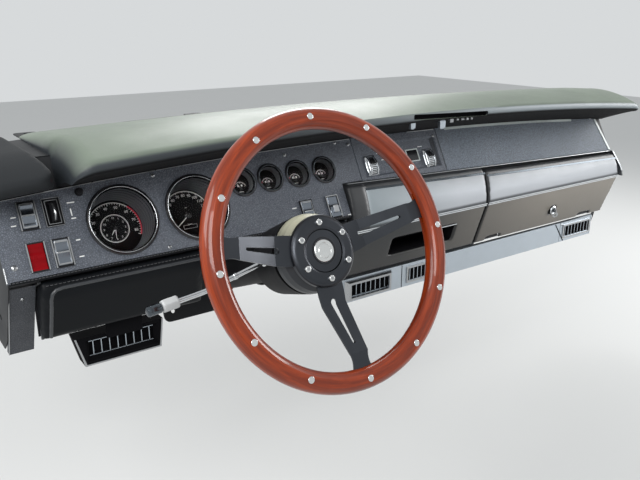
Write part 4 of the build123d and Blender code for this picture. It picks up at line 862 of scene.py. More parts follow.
def rounded_end(points, x):
    """The section drawn in where it nears the pad's rounded ends."""
    from_left, from_right = x - pad_left_x, pad_right_x - x
    reach, run = min((from_left, pad_left_round), (from_right, pad_right_round))
    squash = sqrt(1 - (1 - min(reach / run, 1)) ** 2)
    corner = pad_corner * (1 - sqrt(1 - (1 - min(reach / pad_corner, 1)) ** 2))
    pull = 1 - corner / (pad_fold_y - pad_nose_y)
    drawn = []
    for y, z in points:
        if z > pad_round_z and y <= pad_fold_y:
            z = pad_round_z + (z - pad_round_z) * squash
        elif z > 0.4:
            z = 0.4 + (z - 0.4) * squash
        drawn.append((x, pad_fold_y + (y - pad_fold_y) * pull if y < pad_fold_y else y, z))
    return drawn


def pad_top():
    """The padded top with its lamp slot under the brow and its two air slots."""
    ends = (0.4, 0.9, 1.8, 3, 4.6, 6.6, 9, 12, 15.5, 19.5, 24, 29, 34, 39, 44)
    inner = [between(pad_left_x + 50, pad_right_x - 50, i / 44) for i in range(45)]
    places = [pad_left_x + e for e in ends] + inner + [pad_right_x - e for e in reversed(ends)]
    made = as_object("pad_top", Shape().loft([rounded_end(pad_section(x), x) for x in places]))
    size = (brow_slot_length, brow_slot_height, brow_slot_height * 0.49)
    cutters = [as_object("slot cutter", Shape().block(brow_slot, *size, -12, 20))]
    size = (air_slot_length, air_slot_width, air_slot_width / 2 - 0.1)
    for x in (-air_slot_x, air_slot_x):
        air = Place((x, -40, 0), (1, 0, 0), (0, 1, 0))
        cutters.append(as_object("air cutter", Shape().block(air, *size, -5, 60)))
    for cutter in cutters:
        cut = made.modifiers.new("cut", "BOOLEAN")
        cut.operation = "DIFFERENCE"
        cut.solver = "EXACT"
        cut.object = cutter
    apply_modifiers(made)
    for cutter in cutters:
        bpy.data.objects.remove(cutter)
    dress(made, top_vinyl, "dash", 40, ("dash_pad",))


def soft_skin(name, node, voxel, passes, back_y=None):
    """A fine skin over the space that a solid holds, rounded in front of a given depth."""
    made = linked(name, nodes[node].data.copy())
    skin = made.modifiers.new("fine skin", "REMESH")
    skin.mode = "VOXEL"
    skin.voxel_size = voxel * MM
    apply_modifiers(made)
    soft = made.modifiers.new("soft edges", "SMOOTH")
    soft.factor = 0.55
    soft.iterations = passes
    if back_y is not None:
        front = made.vertex_groups.new(name="front")
        for vertex in made.data.vertices:
            share = min(max((back_y - vertex.co.y / MM) / 10, 0), 1)
            front.add([vertex.index], share, "REPLACE")
        soft.vertex_group = "front"
    return apply_modifiers(made)


def puff(made, cap, still_y):
    """Air pressure on the cover as cloth, held to a small rise and flat against the web behind."""
    rest = [v.co.copy() for v in made.data.vertices]
    cloth = made.modifiers.new("cover", "CLOTH")
    cloth.settings.use_pressure = True
    cloth.settings.uniform_pressure_force = 4
    cloth.settings.effector_weights.gravity = 0
    for step in range(1, 11):
        bpy.context.scene.frame_set(step)
    apply_modifiers(made)
    bpy.context.scene.frame_set(1)
    for vertex, start in zip(made.data.vertices, rest):
        move = vertex.co - start
        if move.length > cap * MM:
            vertex.co = start + move * (cap * MM / move.length)
        vertex.co.y = min(vertex.co.y, still_y * MM)


def sewn_row(shape, start, count, pitch, stitch, at):
    """Small raised stitches; at gives the point for a place along the row and a rise from 0 to 1."""
    for i in range(count):
        x = start + pitch * i
        shape.tube([at(x, 0), at(x + stitch / 2, 1), at(x + stitch, 0)], 0.55, 6)


def along_knee_pad(x, rise):
    """A point of the stitch row on top of a knee pad."""
    return (x, -315.6 - 0.6 * rise, -167.6 - 0.4 * rise)


# Y and Z of the piping along a knee pad's outer end.
knee_piping = ((-281, -262), (-281, -190), (-283, -179), (-292, -172), (-305, -164.5))
# The pressed ridge beside it: outward step, Y and Z.
knee_ridge = (
    (2, -294.5, -256), (0, -311, -205), (0, -315.6, -190),
    (-2.5, -316.6, -181), (-8, -316.4, -176.4), (-18, -315.8, -174.8),
)


def knee_pad_pieces():
    """Both knee pads, puffed a little, with a sewn row along the top and a dark return at the left end.
    """
    made = soft_skin("knee_pads_soft", "knee_pads", 4, 16, -280)
    puff(made, 1.2, -274.4)
    dress(made, pad_vinyl, "dash", 60, ("knee_pads",))
    low, high = (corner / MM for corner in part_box("knee_pads"))
    piping, stitches, returns = new_shapes(3)
    left = (-1, low.x + 1.5, column_x - knee_pad_gap)
    right = (1, high.x - 1.5, column_x + knee_pad_gap)
    for outer, side, inside in (left, right):
        piping.tube([(side, y, z) for y, z in knee_piping], 2.4, 10)
        ridge = [(side - 11 * outer + step * outer, y, z) for step, y, z in knee_ridge]
        ridge.append((inside + 2 * outer, *knee_ridge[-1][1:]))
        piping.tube(ridge, 3, 12)
        count = int(abs(side - inside) / knee_stitch_pitch)
        start = min(side, inside) + knee_stitch_pitch
        sewn_row(stitches, start, count, knee_stitch_pitch, 3.6, along_knee_pad)
    edge = facing_front((low.x, web_back_y, 0))
    returns.slab(edge, [(-2.3, -260), (8.2, -260), (8.2, -176), (-2.3, -176)], -1, 1.6)
    add_piece("knee_pad_piping", piping, rubbed_vinyl, 50)
    add_piece("knee_pad_stitches", stitches, thread, 60)
    add_piece("knee_pad_return", returns, black_plastic, 60)


moulded_voxel = 3.5
# Name, solid, smoothing passes, finish and body of each pad that keeps its moulded shape.
moulded = (
    ("pad_corner_cap", "pad_cap", 5, cap_vinyl, "dash"),
    ("roll_pad", "centre_roll", 4, roll_cover, "dash"),
    ("glovebox_pad", "glovebox_door", 4, door_cover, "glovebox"),
)


def moulded_pads():
    """The corner cap, the padded roll and the glovebox door's pad."""
    for name, node, passes, finish, body in moulded:
        made = soft_skin(name, node, moulded_voxel, passes)
        dress(made, finish, body, 60, (node,))


def along_welt(x, rise):
    """A point of the stitch row on the welt."""
    return panel.at(x, -31.2, 1.8 + 0.5 * rise)


def cluster_welt():
    """Sewn welt along the foot of the instrument panel."""
    welt, stitches = new_shapes(2)
    left, right = -end_x + 6, -126
    welt.tube([panel.at(between(left, right, i / 12), -31.4, -0.6) for i in range(13)], 2.6, 10)
    count = int((right - left) / welt_stitch_pitch)
    sewn_row(stitches, left + 2, count, welt_stitch_pitch, 3, along_welt)
    add_piece("cluster_welt", welt, pad_vinyl, 60)
    add_piece("cluster_stitches", stitches, thread, 60)


# Gauges


def polar(radius, degrees):
    return (radius * cos(radians(degrees)), radius * sin(radians(degrees)))


def bead(shape, place, radius, out, thick, step):
    """A thin round ring; step is the angle between its points in degrees."""
    path = [place.at(*polar(radius, degrees), out) for degrees in range(0, 360, step)]
    shape.tube(path, thick, 8, closed=True)


def scale_mark(shape, place, degrees, inner, outer, width):
    shape.stroke(place, polar(inner, degrees), polar(outer, degrees), width)


def gauge_cones():
    """Stepped walls down to the dials, the small dials' inserts and the bead of each ring."""
    walls, beads, small_beads, inserts = new_shapes(4)
    deep = (large_dial_depth - 1) / cone_steps
    for x, height in large_gauges:
        place = panel.moved(x, height)
        profile = []
        for i in range(cone_steps):
            radius = between(cone_radius, cone_foot_radius, i / (cone_steps - 1))
            top, foot = -0.4 - i * deep, -0.4 - i * deep - deep
            profile += [(radius, top), (radius - 0.3, top - 0.8)]
            profile += [(radius - 0.3, foot + 0.6), (radius - 0.75, foot + 0.1)]
        walls.lathe(place, profile, 72)
        bead(beads, place, large_bead_radius, 2.7, 0.62, 4)
    insert = [(0.01, -small_insert_depth), (17.4, -small_insert_depth)]
    insert += [(17.7, -small_insert_depth - 0.4), (17.8, -small_dial_depth + 0.3)]
    for x, height in small_gauges:
        place = panel.moved(x, height)
        walls.lathe(place, [(20.2, -0.4), (19.8, -5), (19.2, -5.6), (18.6, -13.6)], 48)
        inserts.lathe(place, insert, 48)
        bead(small_beads, place, small_bead_radius, 2.8, 0.5, 8)
    add_piece("gauge_walls", walls, cone_grey, 30)
    add_piece("gauge_beads", beads, chrome, 60)
    add_piece("small_gauge_beads", small_beads, dark_chrome, 60)
    add_piece("small_dial_inserts", inserts, dial_black, 40)


def needle(shape, place, length, tail, degrees, out, width):
    """A tapered needle from its tail to its tip."""
    along = Vector(polar(1, degrees))
    across = Vector((-along.y, along.x)) * width
    outline = [along * -tail - across / 2, along * length - across / 5, along * (length + 1)]
    outline += [along * length + across / 5, along * -tail + across / 2]
    shape.slab(place, outline, out, out + 0.6)


def tachometer(white, red, black):
    """Rev counter with a clock in its middle."""
    x, height = large_gauges[0]
    place = panel.moved(x, height - 1.7, 0.2 - large_dial_depth)
    scale_start, mark_turn = 212, 5.85
    number_turns = (183, 156, 129, 103, 75, 45, 16, -13)
    white.band(place, 41.6, 42.6, 50, 236)
    red.band(place, 41.2, 43.4, -22, 50)
    for i in range(41):
        inner, width = (39.4, 0.5) if i % 5 else (37.8, 0.9)
        scale_mark(white, place, scale_start - i * mark_turn, inner, 41.6, width)
    for i, degrees in enumerate(number_turns):
        white.word(place, str(10 * (i + 1)), polar(34.2, degrees), 6.2)
    white.band(place, 22, 23, 0, 360, 60)
    for minute in range(60):
        scale_mark(white, place, 90 - 6 * minute, 20.6, 21.6, 0.35)
    for hour in range(1, 13):
        white.word(place, str(hour), polar(17.2, 90 - 30 * hour), 4.6)
    needle(white, place, 12, 2.5, -127, 1.4, 1.7)
    needle(white, place, 16, 3, -97, 2.2, 1.3)
    black.lathe(place, [(0.01, 4.2), (2, 4.2), (2.8, 3.4), (2.8, 0)], 24)


def speedometer(white, black):
    """Speedometer with numbers to 150."""
    x, height = large_gauges[1]
    place = panel.moved(x, height - 1.2, 0.2 - large_dial_depth)
    scale_start, unit_turn, scale_end = 225, 1.7, 150
    white.band(place, 42, 43.2, -30, scale_start, 60)
    for value in range(0, scale_end + 1, 2):
        inner, width = (40.8, 0.4) if value % 10 else (40, 0.8)
        scale_mark(white, place, scale_start - unit_turn * value, inner, 42, width)
    for value in range(0, scale_end + 1, 10):
        white.word(place, str(value), polar(35.2, scale_start - unit_turn * value), 6.8)
    for radius, middle, half in ((14, 90, 8), (15, 270, 16)):
        white.band(place, radius - 0.3, radius + 0.3, middle - half, middle + half, 8)
    left, right, low, high = -12, 12, -22, -16
    for y in (low, high):
        white.stroke(place, (left, y), (right, y), 0.35)
    for x in (left, right):
        white.stroke(place, (x, low), (x, high), 0.35)
    needle(white, place, 35, 4, 217, 3.2, 1.8)
    black.lathe(place, [(0.01, 6), (4.4, 6), (6, 4.8), (6, 0)], 32)


def small_dials(white, red, black):
    """Four small gauges, each with a short scale that starts red."""
    scale_start, mark_turn, scale_end = 146, 15.5, 22
    for (x, height), pointing in zip(small_gauges, (120, 98, 106, 90)):
        place = panel.moved(x, height, 0.1 - small_insert_depth)
        pivot = place.moved(0.5, -8)
        white.band(pivot, 11.6, 12.3, scale_end, scale_start, 20)
        red.band(pivot, 11.4, 12.6, scale_start, scale_start + 20, 6)
        for i in range(9):
            scale_mark(white, pivot, scale_start - mark_turn * i, 10.4 if i % 4 else 9.2, 11.6, 0.5)
        for x in (-3, 4):
            white.block(place.moved(x, -2.6), 3, 3.6, 0.5, 0, 0.2, steps=2)
        white.stroke(place, (-4, -13.6), (5, -13.6), 0.8)
        needle(white, pivot, 9.5, 1, pointing, 1.2, 0.8)
        black.lathe(pivot, [(0.01, 2.4), (2.4, 2.4), (3, 1.6), (3, 0)], 20)


def dials():
    white, red, black = new_shapes(3)
    tachometer(white, red, black)
    speedometer(white, black)
    small_dials(white, red, black)
    add_piece("dial_prints", white, dial_white, 30)
    add_piece("dial_red_arcs", red, dial_red, 30)
    add_piece("needle_hubs", black, gloss_black, 40)


# Switches and small controls of the instrument panel


def cap_section(place, y, half, low, top, edge):
    """One section across a small cap with softened upper edges."""
    skin = [(-half, low), (half, low), (half, top - edge)]
    skin += [(half - 0.9, top), (0.9 - half, top), (-half, top - edge)]
    return [place.at(x, y, out) for x, out in skin]


def rocker(body, bright, place, tilt):
    """A shaped rocker: two hollow facets, with bright edges at its ends and its ridge."""
    half, end = rocker_width / 2, rocker_height / 2
    rings = []
    for i in range(13):
        y = between(-end, end, i / 12)
        top = rocker_rise - 2 * sin(pi * abs(y) / end) + tilt * y
        rings.append(cap_section(place, y, half, -8, top - 1.2 if i in (0, 12) else top, 0.8))
    body.loft(rings)
    for y, thick in ((1.6 - end, 2.2), (0, 2.4), (end - 2.4, 3.2)):
        bright.block(place.moved(0, y, 4 + tilt * y), rocker_width - 2.4, thick, 0.8, -1.2, 0.9, 0.5, 2)
    for side in (-1, 1):
        bright.block(place.moved(side * (half - 1), 0, 3.4), 1.5, 2 * end - 3, 0.5, -2, 0.8, 0.3, 2)


def outline_frame(shape, place, width, height, bar, sides=("left", "right", "top", "bottom")):
    """Slim bright bars along the sides of a rectangle."""
    x, y = width / 2, height / 2
    ends = {
        "left": ((-x, -y), (-x, y)), "right": ((x, -y), (x, y)),
        "top": ((-x, y), (x, y)), "bottom": ((-x, -y), (x, -y)),
    }
    for side in sides:
        shape.stroke(place, *ends[side], bar, 1.9, 2.6)


def switches():
    """Rockers with bright edges, tabs on the two at the right and the modules' bright side bars."""
    caps, tabs, bright = new_shapes(3)
    for x, height in rockers_left:
        rocker(caps, tabs, panel.moved(x, height), 0.05)
    near, far = (panel.moved(x, height) for x, height in rockers_right)
    for place in (near, far):
        rocker(caps, Shape(), place, -0.05)
    outline_frame(bright, near, 22, 38, 0.8, ("left", "right", "top"))
    for y, thick in ((0.5, 1.8), (-13, 2.4), (16.5, 1.4)):
        tabs.block(near.moved(0, y), 17, thick, 0.6, 1, 5.2, 0.5, 2)
    outline_frame(bright, far, 25, 42, 1.5, ("left", "right", "top"))
    tabs.block(far.moved(1.5, -3.6), 11, 14, 1.8, 1, 6.2, 1.2)
    tabs.block(far.moved(1.5, -3.6), 6.5, 9, 1, 5, 6.6, 0.3)
    for x, height in rockers_left + (lamp_at,):
        outline_frame(bright, panel.moved(x, height), 24.4, 42, 1.7, ("left", "right"))
    outline_frame(bright, panel.moved(*dimmer_at), 25, 42, 0.6)
    add_piece("rockers", caps, rocker_chrome, 25, replaced=("rocker_caps",))
    add_piece("rocker_tabs", tabs, silver, 30)
    add_piece("switch_outlines", bright, silver, 30)


def lamp_lens():
    """The red lamp's lens: two shallow hollow facets."""
    place = panel.moved(*lamp_at)
    rings = []
    for i in range(17):
        y = between(-lamp_reach, lamp_reach, i / 16)
        top = 1.4 - 2.2 * sin(pi * abs(y) / lamp_reach) ** 2
        rings.append(cap_section(place, y, 10.9, -7.5, top, 0.6))
    add_piece("lamp_lens", Shape().loft(rings), red_lens, 30, replaced=("brake_lamp",))


def dimmer():
    """A ribbed thumb wheel set edge-on in its housing."""
    axis = Place(panel.at(*dimmer_at, -4), panel_out, panel_up)
    outline = []
    for i, t in enumerate(turns(4 * dimmer_ribs)):
        radius = dimmer_radius if i % 4 in (0, 1) else dimmer_radius - 0.9
        outline.append((max(radius * cos(t), -3.6), radius * sin(t)))
    drum = Shape().slab(axis, outline, -3.9, 3.9)
    add_piece("dimmer_thumb_wheel", drum, black_plastic, 25, replaced=("dimmer_wheel",))
    arc = [axis.at(*polar(dimmer_radius - 0.6, degrees), -0.6) for degrees in range(-72, 73, 8)]
    rims = Shape().tube(arc, 1.5, 8)
    outline_frame(rims, panel.moved(*dimmer_at), 17.5, 35, 0.7)
    add_piece("dimmer_rims", rims, silver, 40)


def slotted_screw(bright, dark, place, radius, turn):
    """A domed screw head with its slot."""
    bright.lathe(place, [(0.01, 1.5), (radius * 0.5, 1.35), (radius * 0.85, 0.8), (radius, 0)], 20)
    end = Vector((cos(turn), sin(turn))) * radius * 0.75
    dark.stroke(place, -end, end, 0.7, 1.0, 1.56)


# Screws of the panels: across, up, and the turn of the slot.
panel_screws = (
    (-474.5, 95.4, 0.5), (-477.4, -22.5, 2.2), (-111, 111, 1.1), (-81, 104.6, 0.3),
    (-225.5, 100.3, 1.9), (676, 92, 0.7), (139, 100, 2.0),
)
# Printed marks beside the switches and the heater controls: both ends of each line.
switch_marks = (
    ((-614, 71), (-603, 71)), ((-611, 62), (-611, 51)), ((-613, 47), (-606, 47)),
    ((-614, 14), (-608, 14)), ((-615, -11), (-608, -11)), ((-694, 61), (-687, 61)),
    ((-696, 49), (-689, 49)), ((-241, 2), (-232, 2)), ((-190, -29), (-182, -29)),
    ((-128, -28), (-121, -28)),
)
heater_marks = (
    ((-66, 80), (-58, 80)), ((-66, 66), (-62, 66)), ((-64, 41), (-58, 41)), ((-18, 80), (-12, 80)),
    ((92, 82), (104, 82)), ((131, 44), (136, 44)), ((-10, 66), (10, 66)), ((18, 52), (44, 52)),
)


def panel_details():
    """Screws, marks beside the switches and the trip knob."""
    bright, dark, white, black = new_shapes(4)
    for x, height, turn in panel_screws:
        slotted_screw(bright, dark, panel.moved(x, height), 3.3, turn)
    for p, q in switch_marks:
        white.stroke(panel, p, q, 1.7)
    slotted_screw(bright, dark, panel.moved(-704.3, -10), 4.2, 1.2)
    block = Place((-697, -287.6, -191), (1, 0, 0), (0, -0.483, 0.876))
    slotted_screw(bright, dark, block, 2.8, 0.2)
    place = panel.moved(*trip_knob_at)
    black.lathe(place, [(0.01, 9), (3.4, 9), (4.4, 8), (4.4, 3), (5.6, 2), (6.4, 0)], 28)
    for t in turns(14):
        black.tube([place.at(4.3 * cos(t), 4.3 * sin(t), out) for out in (3, 8)], 0.4, 5)
    add_piece("panel_screws", bright, silver, 40)
    add_piece("screw_slots", dark, dial_black, 30)
    add_piece("switch_marks", white, dial_white, 30)
    add_piece("trip_knob", black, black_plastic, 35)


def heater_controls():
    """Two ribbed thumb wheels between bright cheeks, the small window and the marks beside them."""
    ribs, drums, cheeks, white, glass = new_shapes(5)
    curve = []
    for i in range(17):
        y = between(-17.8, 17.8, i / 16)
        curve.append((y, thumb_rise * sqrt(1 - (y / thumb_reach) ** 2) - 4))
    for x, height in heater_thumbs_at:
        place = panel.moved(x, height, heater_floor)
        for i in range(11):
            t = radians(between(-58, 58, i / 10))
            y, out = (thumb_reach - 0.5) * sin(t), thumb_rise * cos(t) - 4.3
            ribs.tube([place.at(end, y, out) for end in (-4.6, 5.2)], 0.9, 6)
        for side in (-1, 1):
            cheeks.tube([place.at(side * 8.4, y, out + 0.2) for y, out in curve], 1.7, 8)
        rings = []
        for y, out in curve:
            corners = ((-8.6, out - 0.6), (8.6, out - 0.6), (8.6, -6), (-8.6, -6))
            rings.append([place.at(end, y, height) for end, height in corners])
        drums.loft(rings)
        outline_frame(cheeks, place.moved(0, 0, -2), 24, 41, 1.3)
    for p, q in heater_marks:
        white.stroke(panel.moved(0, 0, heater_floor), p, q, 1.4)
    glass.block(panel.moved(*window_at, heater_floor), *window_size, 1, 0, 0.7)
    add_piece("heater_thumb_drums", drums, chrome, 40, replaced=("heater_thumbs",))
    add_piece("heater_thumb_ribs", ribs, gloss_black, 50)
    add_piece("heater_thumb_cheeks", cheeks, chrome, 40)
    add_piece("heater_marks", white, dial_white, 30)
    add_piece("heater_window", glass, gloss_black, 30)


def panel_lines():
    """Slim bright lines at the panels' top and foot and at the left end."""
    line = Shape()
    line.tube([panel.at(x, crown(x) - 1.6, 0.8) for x in range(72, 149, 6)], 0.9, 8)
    line.tube([panel.at(x, crown(x) - 0.9, 0.5) for x in range(-712, -70, 12)], 0.7, 8)
    foot = []
    for i in range(40):
        x = between(-110, 708, i / 39)
        foot.append(panel.at(x, (roll_top(x) - panel_origin.z) / cos(panel_lean) + 1.2, 0.9))
    line.tube(foot, 1.0, 8)
    line.tube([panel.at(-end_x + 1.5, height, 1) for height in (-8, -18, -30)], 1.1, 8)
    line.tube([(-end_x + 4.6, -301, -169.5), (-end_x + 4.6, -228.8, -298.5)], 0.8, 8)
    add_piece("panel_lines", line, silver, 60)


# Small lamp parts under the brow's lip: X, Z, width and height.
lip_parts = ((89, 6.6, 9, 7), (105, 7.4, 6, 3), (119, 6.6, 8, 2.6), (132, 6.4, 6, 4), (144, 6, 5, 3))


def brow_slot_parts():
    """Dark lining of the slot in the brow, two lamp clips and small lamp parts under its lip."""
    dark, grey, bright = new_shapes(3)
    outer, inner = (
        rounded_rectangle(brow_slot_length + more, brow_slot_height + more, brow_slot_height * share)
        for more, share in ((0.6, 0.5), (-1.4, 0.42))
    )
    rings = []
    for outline, out in ((outer, -1.2), (inner, -1.2), (inner, -11), (outer, -11)):
        rings.append([brow_slot.at(x, y, out) for x, y in outline])
    dark.loft(rings, closed=True)
    dark.slab(brow_slot, inner, -11.6, -9)
    for left, right, low, high, y in lamp_clips:
        plate = facing_front(((left + right) / 2, y, (low + high) / 2))
        grey.block(plate, right - left, high - low, 1.2, -1, 1.4, 0.5)
        grey.block(plate, right - left - 4, high - low + 3, 1, -7, 0)
    for x, z, width, height in lip_parts:
        lip = facing_front((x, -350, z))
        bright.block(lip, width, height, 0.8, -1.6, 1, 0.4)
        bright.block(lip.moved(0, 3), width - 2, height, 0.8, -5, -0.4)
    add_piece("brow_slot_lining", dark, dial_black, 30)
    add_piece("brow_lamp_clips", grey, satin, 30)
    add_piece("brow_lamp_parts", bright, silver, 30)


def heater_panel_slope():
    """The slope from the heater panel's floor up to the panel beside it, in a darker crackle that is
    painted shade.
    """
    rings = []
    for share in (0, 0.25, 0.5, 0.75, 1):
        height = between(24, crown(139) - 3, share)
        corners = ((127, -4.2), (149.4, 0.35), (149.8, 0.2), (149.8, -4.4))
        rings.append([panel.at(x, height, out) for x, out in corners])
    add_piece("heater_panel_slope", Shape().loft(rings), shaded_crackle, 20)


def vent_details():
    """Dark ducts behind the four vents and a bright front edge on every slat."""
    ducts, edges = new_shapes(2)
    middle_z = (band_top_z + band_bottom_z) / 2
    openings = [(x, width - 8, middle_z, 28, 0) for x, width in band_vents]
    openings.append((*driver_vent[:3], 26, driver_vent[3]))
    for x, width, z, height, deep in openings:
        front = facing_front((x, band_y + deep, z))
        ducts.block(front, width - 0.4, height - 0.4, 0.5, -14, -5.4, steps=2)
        for i in range(8):
            at, reach = (i - 3.5) * width / 8, height / 2 - 0.4
            edges.stroke(front, (at, -reach), (at, reach), 1.5, 0.05, 0.4)
        for at in (0.6 - height / 2, height / 2 - 0.6):
            edges.stroke(front, (-width / 2, at), (width / 2, at), 1, 0.05, 0.4)
    add_piece("vent_ducts", ducts, dial_black, 30)
    add_piece("vent_slat_edges", edges, satin, 30)


def band_details():
    """Dark seams, edge line of the end piece, its screw and the cubby's bright lip."""
    dark, bright, slot_line = new_shapes(3)
    front = facing_front((0, band_y, 0))
    dark.stroke(front, (41, band_bottom_z + 0.6), (41, band_top_z - 0.6), 1.6, 0, 0.35)
    dark.stroke(front, (585, band_bottom_z + 1.4), (549, band_top_z - 1.4), 2.8, 0, 0.35)
    bright.stroke(front, (696.6, band_bottom_z + 0.5), (696.6, band_top_z - 0.5), 2.2, 0, 1.0)
    slotted_screw(bright, slot_line, front.moved(575, band_top_z - 6), 2.6, 0.4)
    lip_z = -222.5
    bright.tube([(x, face_y(lip_z) - 0.8, lip_z) for x in (96, 120, 150, 168)], 1.3, 8)
    add_piece("band_seam", dark, dial_black, 30)
    add_piece("band_edge_parts", bright, chrome, 40)
    add_piece("band_screw_slot", slot_line, dial_black, 30)


def lock_and_key():
    """Lock rosette with its dark barrel and a key that hangs from it."""
    face = facing_front(lock_at)
    ring, dark, key = new_shapes(3)
    ring.lathe(face, [(6.2, 0.05), (6.4, 1.6), (8, 2.2), (10, 1.4), (10.8, 0.05)], 36)
    dark.lathe(face, [(0.01, 0.9), (6.1, 0.7), (6.3, 0.05)], 28)
    key.block(face, 1.8, 7, 0.6, 0.6, 9)
    bow = Place(face.at(-5.5, -8.5, 10.5), (0.86, -0.15, -0.5), (0.35, -0.5, 0.8))
    profile = [(2.6, -0.8), (2.6, 0.8), (6.6, 0.8), (7.2, 0.3), (7.2, -0.3), (6.6, -0.8), (2.6, -0.8)]
    key.lathe(bow, profile, 32)
    key.tube([face.at(0, 0, 8.2), face.at(-1.4, -2.2, 9.4), face.at(-2.6, -4.2, 10)], 1.5, 8)
    add_piece("lock_rosette", ring, chrome, 40, "glovebox")
    add_piece("lock_barrel", dark, dark_chrome, 40, "glovebox")
    add_piece("glovebox_key", key, silver, 30, "glovebox")


# Steering wheel and lever


def wheel_details():
    """Plain disc on the horn button with its ring, and sockets in the hub bolts."""
    hub = wheel.moved(0, 0, -hub_setback)
    button = hub.moved(0, 0, 5)
    disc, dark, ring = new_shapes(3)
    profile = [(0.01, 1.5), (9, 1.6), (9.6, 1.1), (10.4, 1.1)]
    profile += [(11, 1.7), (14.6, 1.5), (15.6, 0.8), (16, 0.05)]
    disc.lathe(button, profile, 48)
    ring.lathe(button, [(17.2, 0.05), (17.6, 0.9), (18.4, 0.9), (18.8, 0.05)], 48)
    hexagon = [polar(2.4, 60 * i) for i in range(6)]
    for i in range(6):
        x, y = polar(hub_bolt_circle / 2, 90 + 60 * i)
        dark.slab(hub.moved(x, y, hub_ring_thickness + 3), hexagon, 0.02, 0.12)
    add_piece("horn_disc", disc, polished_rivet, 30, "steering")
    add_piece("horn_ring", ring, gloss_black, 40, "steering")
    add_piece("bolt_sockets", dark, silver, 30, "steering")


# Distance from the lever's tip and radius of its dark barrel.
barrel_profile = (
    (0.1, 3.6), (0.3, 5.2), (1.2, 6.6), (2.6, 7), (5, 7), (5.4, 6.5),
    (6.4, 6.5), (6.8, 7), (18.6, 7), (19.6, 6.4), (20.6, 4.4),
)
# The same for the white hexagon collar beyond the barrel.
collar_profile = ((21, 7.2), (23, 9.3), (42, 9.3), (44, 7.2))


def signal_lever_parts():
    """Chrome rod, white hexagon collar and dark barrel of the signal lever."""
    place = wheel.moved(0, 0, -lever_depth)
    root, bend, tip = (place.at(x, y) for x, y in ((-50, 5), (-152, -17.3), (-234.3, -25.5)))
    inner = (root - bend).normalized()
    outer = (tip - bend).normalized()
    path = [root + inner * 3, root, between(root, bend, 0.5), bend + inner * 9]
    path += [bend + inner * 9 * (1 - t) ** 2 + outer * 9 * t * t for t in (0.33, 0.66, 1)]
    path += [between(bend, tip, 0.5), tip - outer * 3]
    rod = Shape().tube(path, 3.7, 20)
    rod.tube([root + inner * out for out in (4, -7, -9, -10)], [7, 7, 6, 3.8], 24)
    for share in (0.5, 0.66):
        at = between(root, bend, share)
        rod.tube([at - inner * out for out in (0, 0.8, 5.2, 6)], [3.8, 4.5, 4.5, 3.8], 20)
    side = panel_up.cross(-outer).normalized()
    rings = [ring_about(tip - outer * out, -outer, side, radius, 6) for out, radius in collar_profile]
    collar = as_object("lever_collar", Shape().loft(rings))
    soften = collar.modifiers.new("soft edges", "BEVEL")
    soften.width = 0.9 * MM
    soften.segments = 3
    apply_modifiers(collar)
    radii = [radius for _, radius in barrel_profile]
    barrel = Shape().tube([tip - outer * out for out, _ in barrel_profile], radii, 32)
    add_piece("lever_rod", rod, chrome, 40, replaced=("signal_lever",))
    dress(collar, white_collar, "dash", 30)
    add_piece("lever_barrel", barrel, dark_chrome, 40)


# Camera and studio


def camera_at_photograph():
    """The camera solved from the wheel's rivets and the long edges of the dash."""
    data = bpy.data.cameras.new("camera")
    data.lens = 38.97
    data.sensor_width = 36.0
    camera = linked("camera", data)
    right = Vector((0.8147, -0.5799, 0.0008))
    up = Vector((0.1784, 0.2521, 0.9511))
    back = Vector((-0.5517, -0.7747, 0.3088))
    turn = Matrix((right, up, back)).transposed().to_4x4()
    place = Matrix.Translation((-0.8818, -1.2821, 0.1972))
    camera.matrix_world = place @ turn
    bpy.context.scene.camera = camera


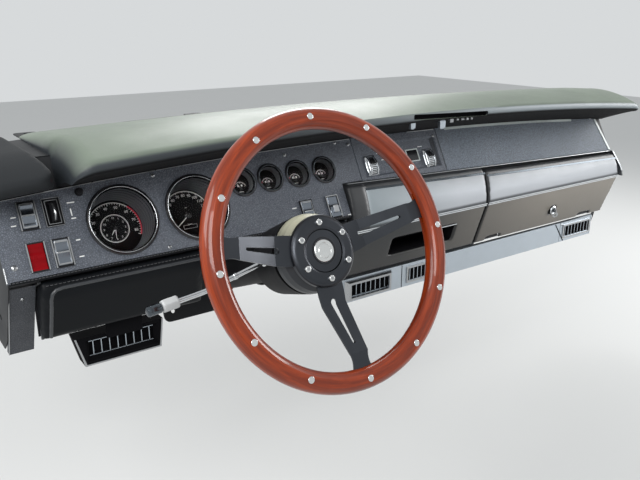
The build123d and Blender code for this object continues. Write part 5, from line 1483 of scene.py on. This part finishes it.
def seen_directly(tree):
    """1 for the rays that show the surroundings themselves, 0 for those that light the object."""
    rays = add_node(tree, "ShaderNodeLightPath").outputs
    seen = calculate(tree, "MAXIMUM", rays["Is Camera Ray"], rays["Is Glossy Ray"])
    return calculate(tree, "MAXIMUM", seen, rays["Is Transmission Ray"])


# Place in metres, size in metres and power in watts of each soft lamp.
lamps = (
    ((-1.5, -1.75, 1.0), 0.9, 20),
    ((2.1, -1.0, 0.4), 1.0, 28),
    ((1.0, 1.5, 1.2), 1.3, 32),
    ((-1.75, -0.35, 0.9), 0.9, 15),
)
lamps_aim = Vector((0, -0.3, -0.1))
# Half the floor's width and its distance below the object, in metres.
floor_reach = 6
floor_drop = 0.25


def pale_floor():
    mesh = bpy.data.meshes.new("floor")
    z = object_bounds()[0].z - floor_drop
    corners = ((-1, -1), (1, -1), (1, 1), (-1, 1))
    mesh.from_pydata([(x * floor_reach, y * floor_reach, z) for x, y in corners], [], [(0, 1, 2, 3)])
    floor = linked("floor", mesh)
    finish, tree, shader = material("pale floor", (0.54, 0.54, 0.53), 0.8, Emission_Strength=1.0)
    glow = mix_colours(tree, seen_directly(tree), (0, 0, 0), (0.12, 0.125, 0.125))
    feed(tree, shader, Emission_Color=glow)
    mesh.materials.append(finish)
    floor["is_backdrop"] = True


def studio():
    """Pale floor, pale backdrop and soft lamps at both sides and behind the dash."""
    pale_floor()
    world = bpy.data.worlds.new("studio")
    bpy.context.scene.world = world
    world.use_nodes = True
    tree = world.node_tree
    tone = mix_colours(tree, seen_directly(tree), (0.5, 0.52, 0.54), (0.68, 0.7, 0.71))
    feed(tree, tree.nodes["Background"], Color=tone)
    for place, size, power in lamps:
        data = bpy.data.lights.new("soft lamp", "AREA")
        data.size = size
        data.energy = power
        lamp = linked("soft lamp", data)
        lamp.location = place
        lamp.rotation_euler = (lamps_aim - Vector(place)).to_track_quat("-Z", "Y").to_euler()
    bpy.context.scene.view_settings.view_transform = "Standard"


pad_top()
moulded_pads()
knee_pad_pieces()
cluster_welt()
gauge_cones()
dials()
switches()
lamp_lens()
dimmer()
panel_details()
heater_controls()
panel_lines()
brow_slot_parts()
heater_panel_slope()
vent_details()
band_details()
lock_and_key()
wheel_details()
signal_lever_parts()
camera_at_photograph()
studio()
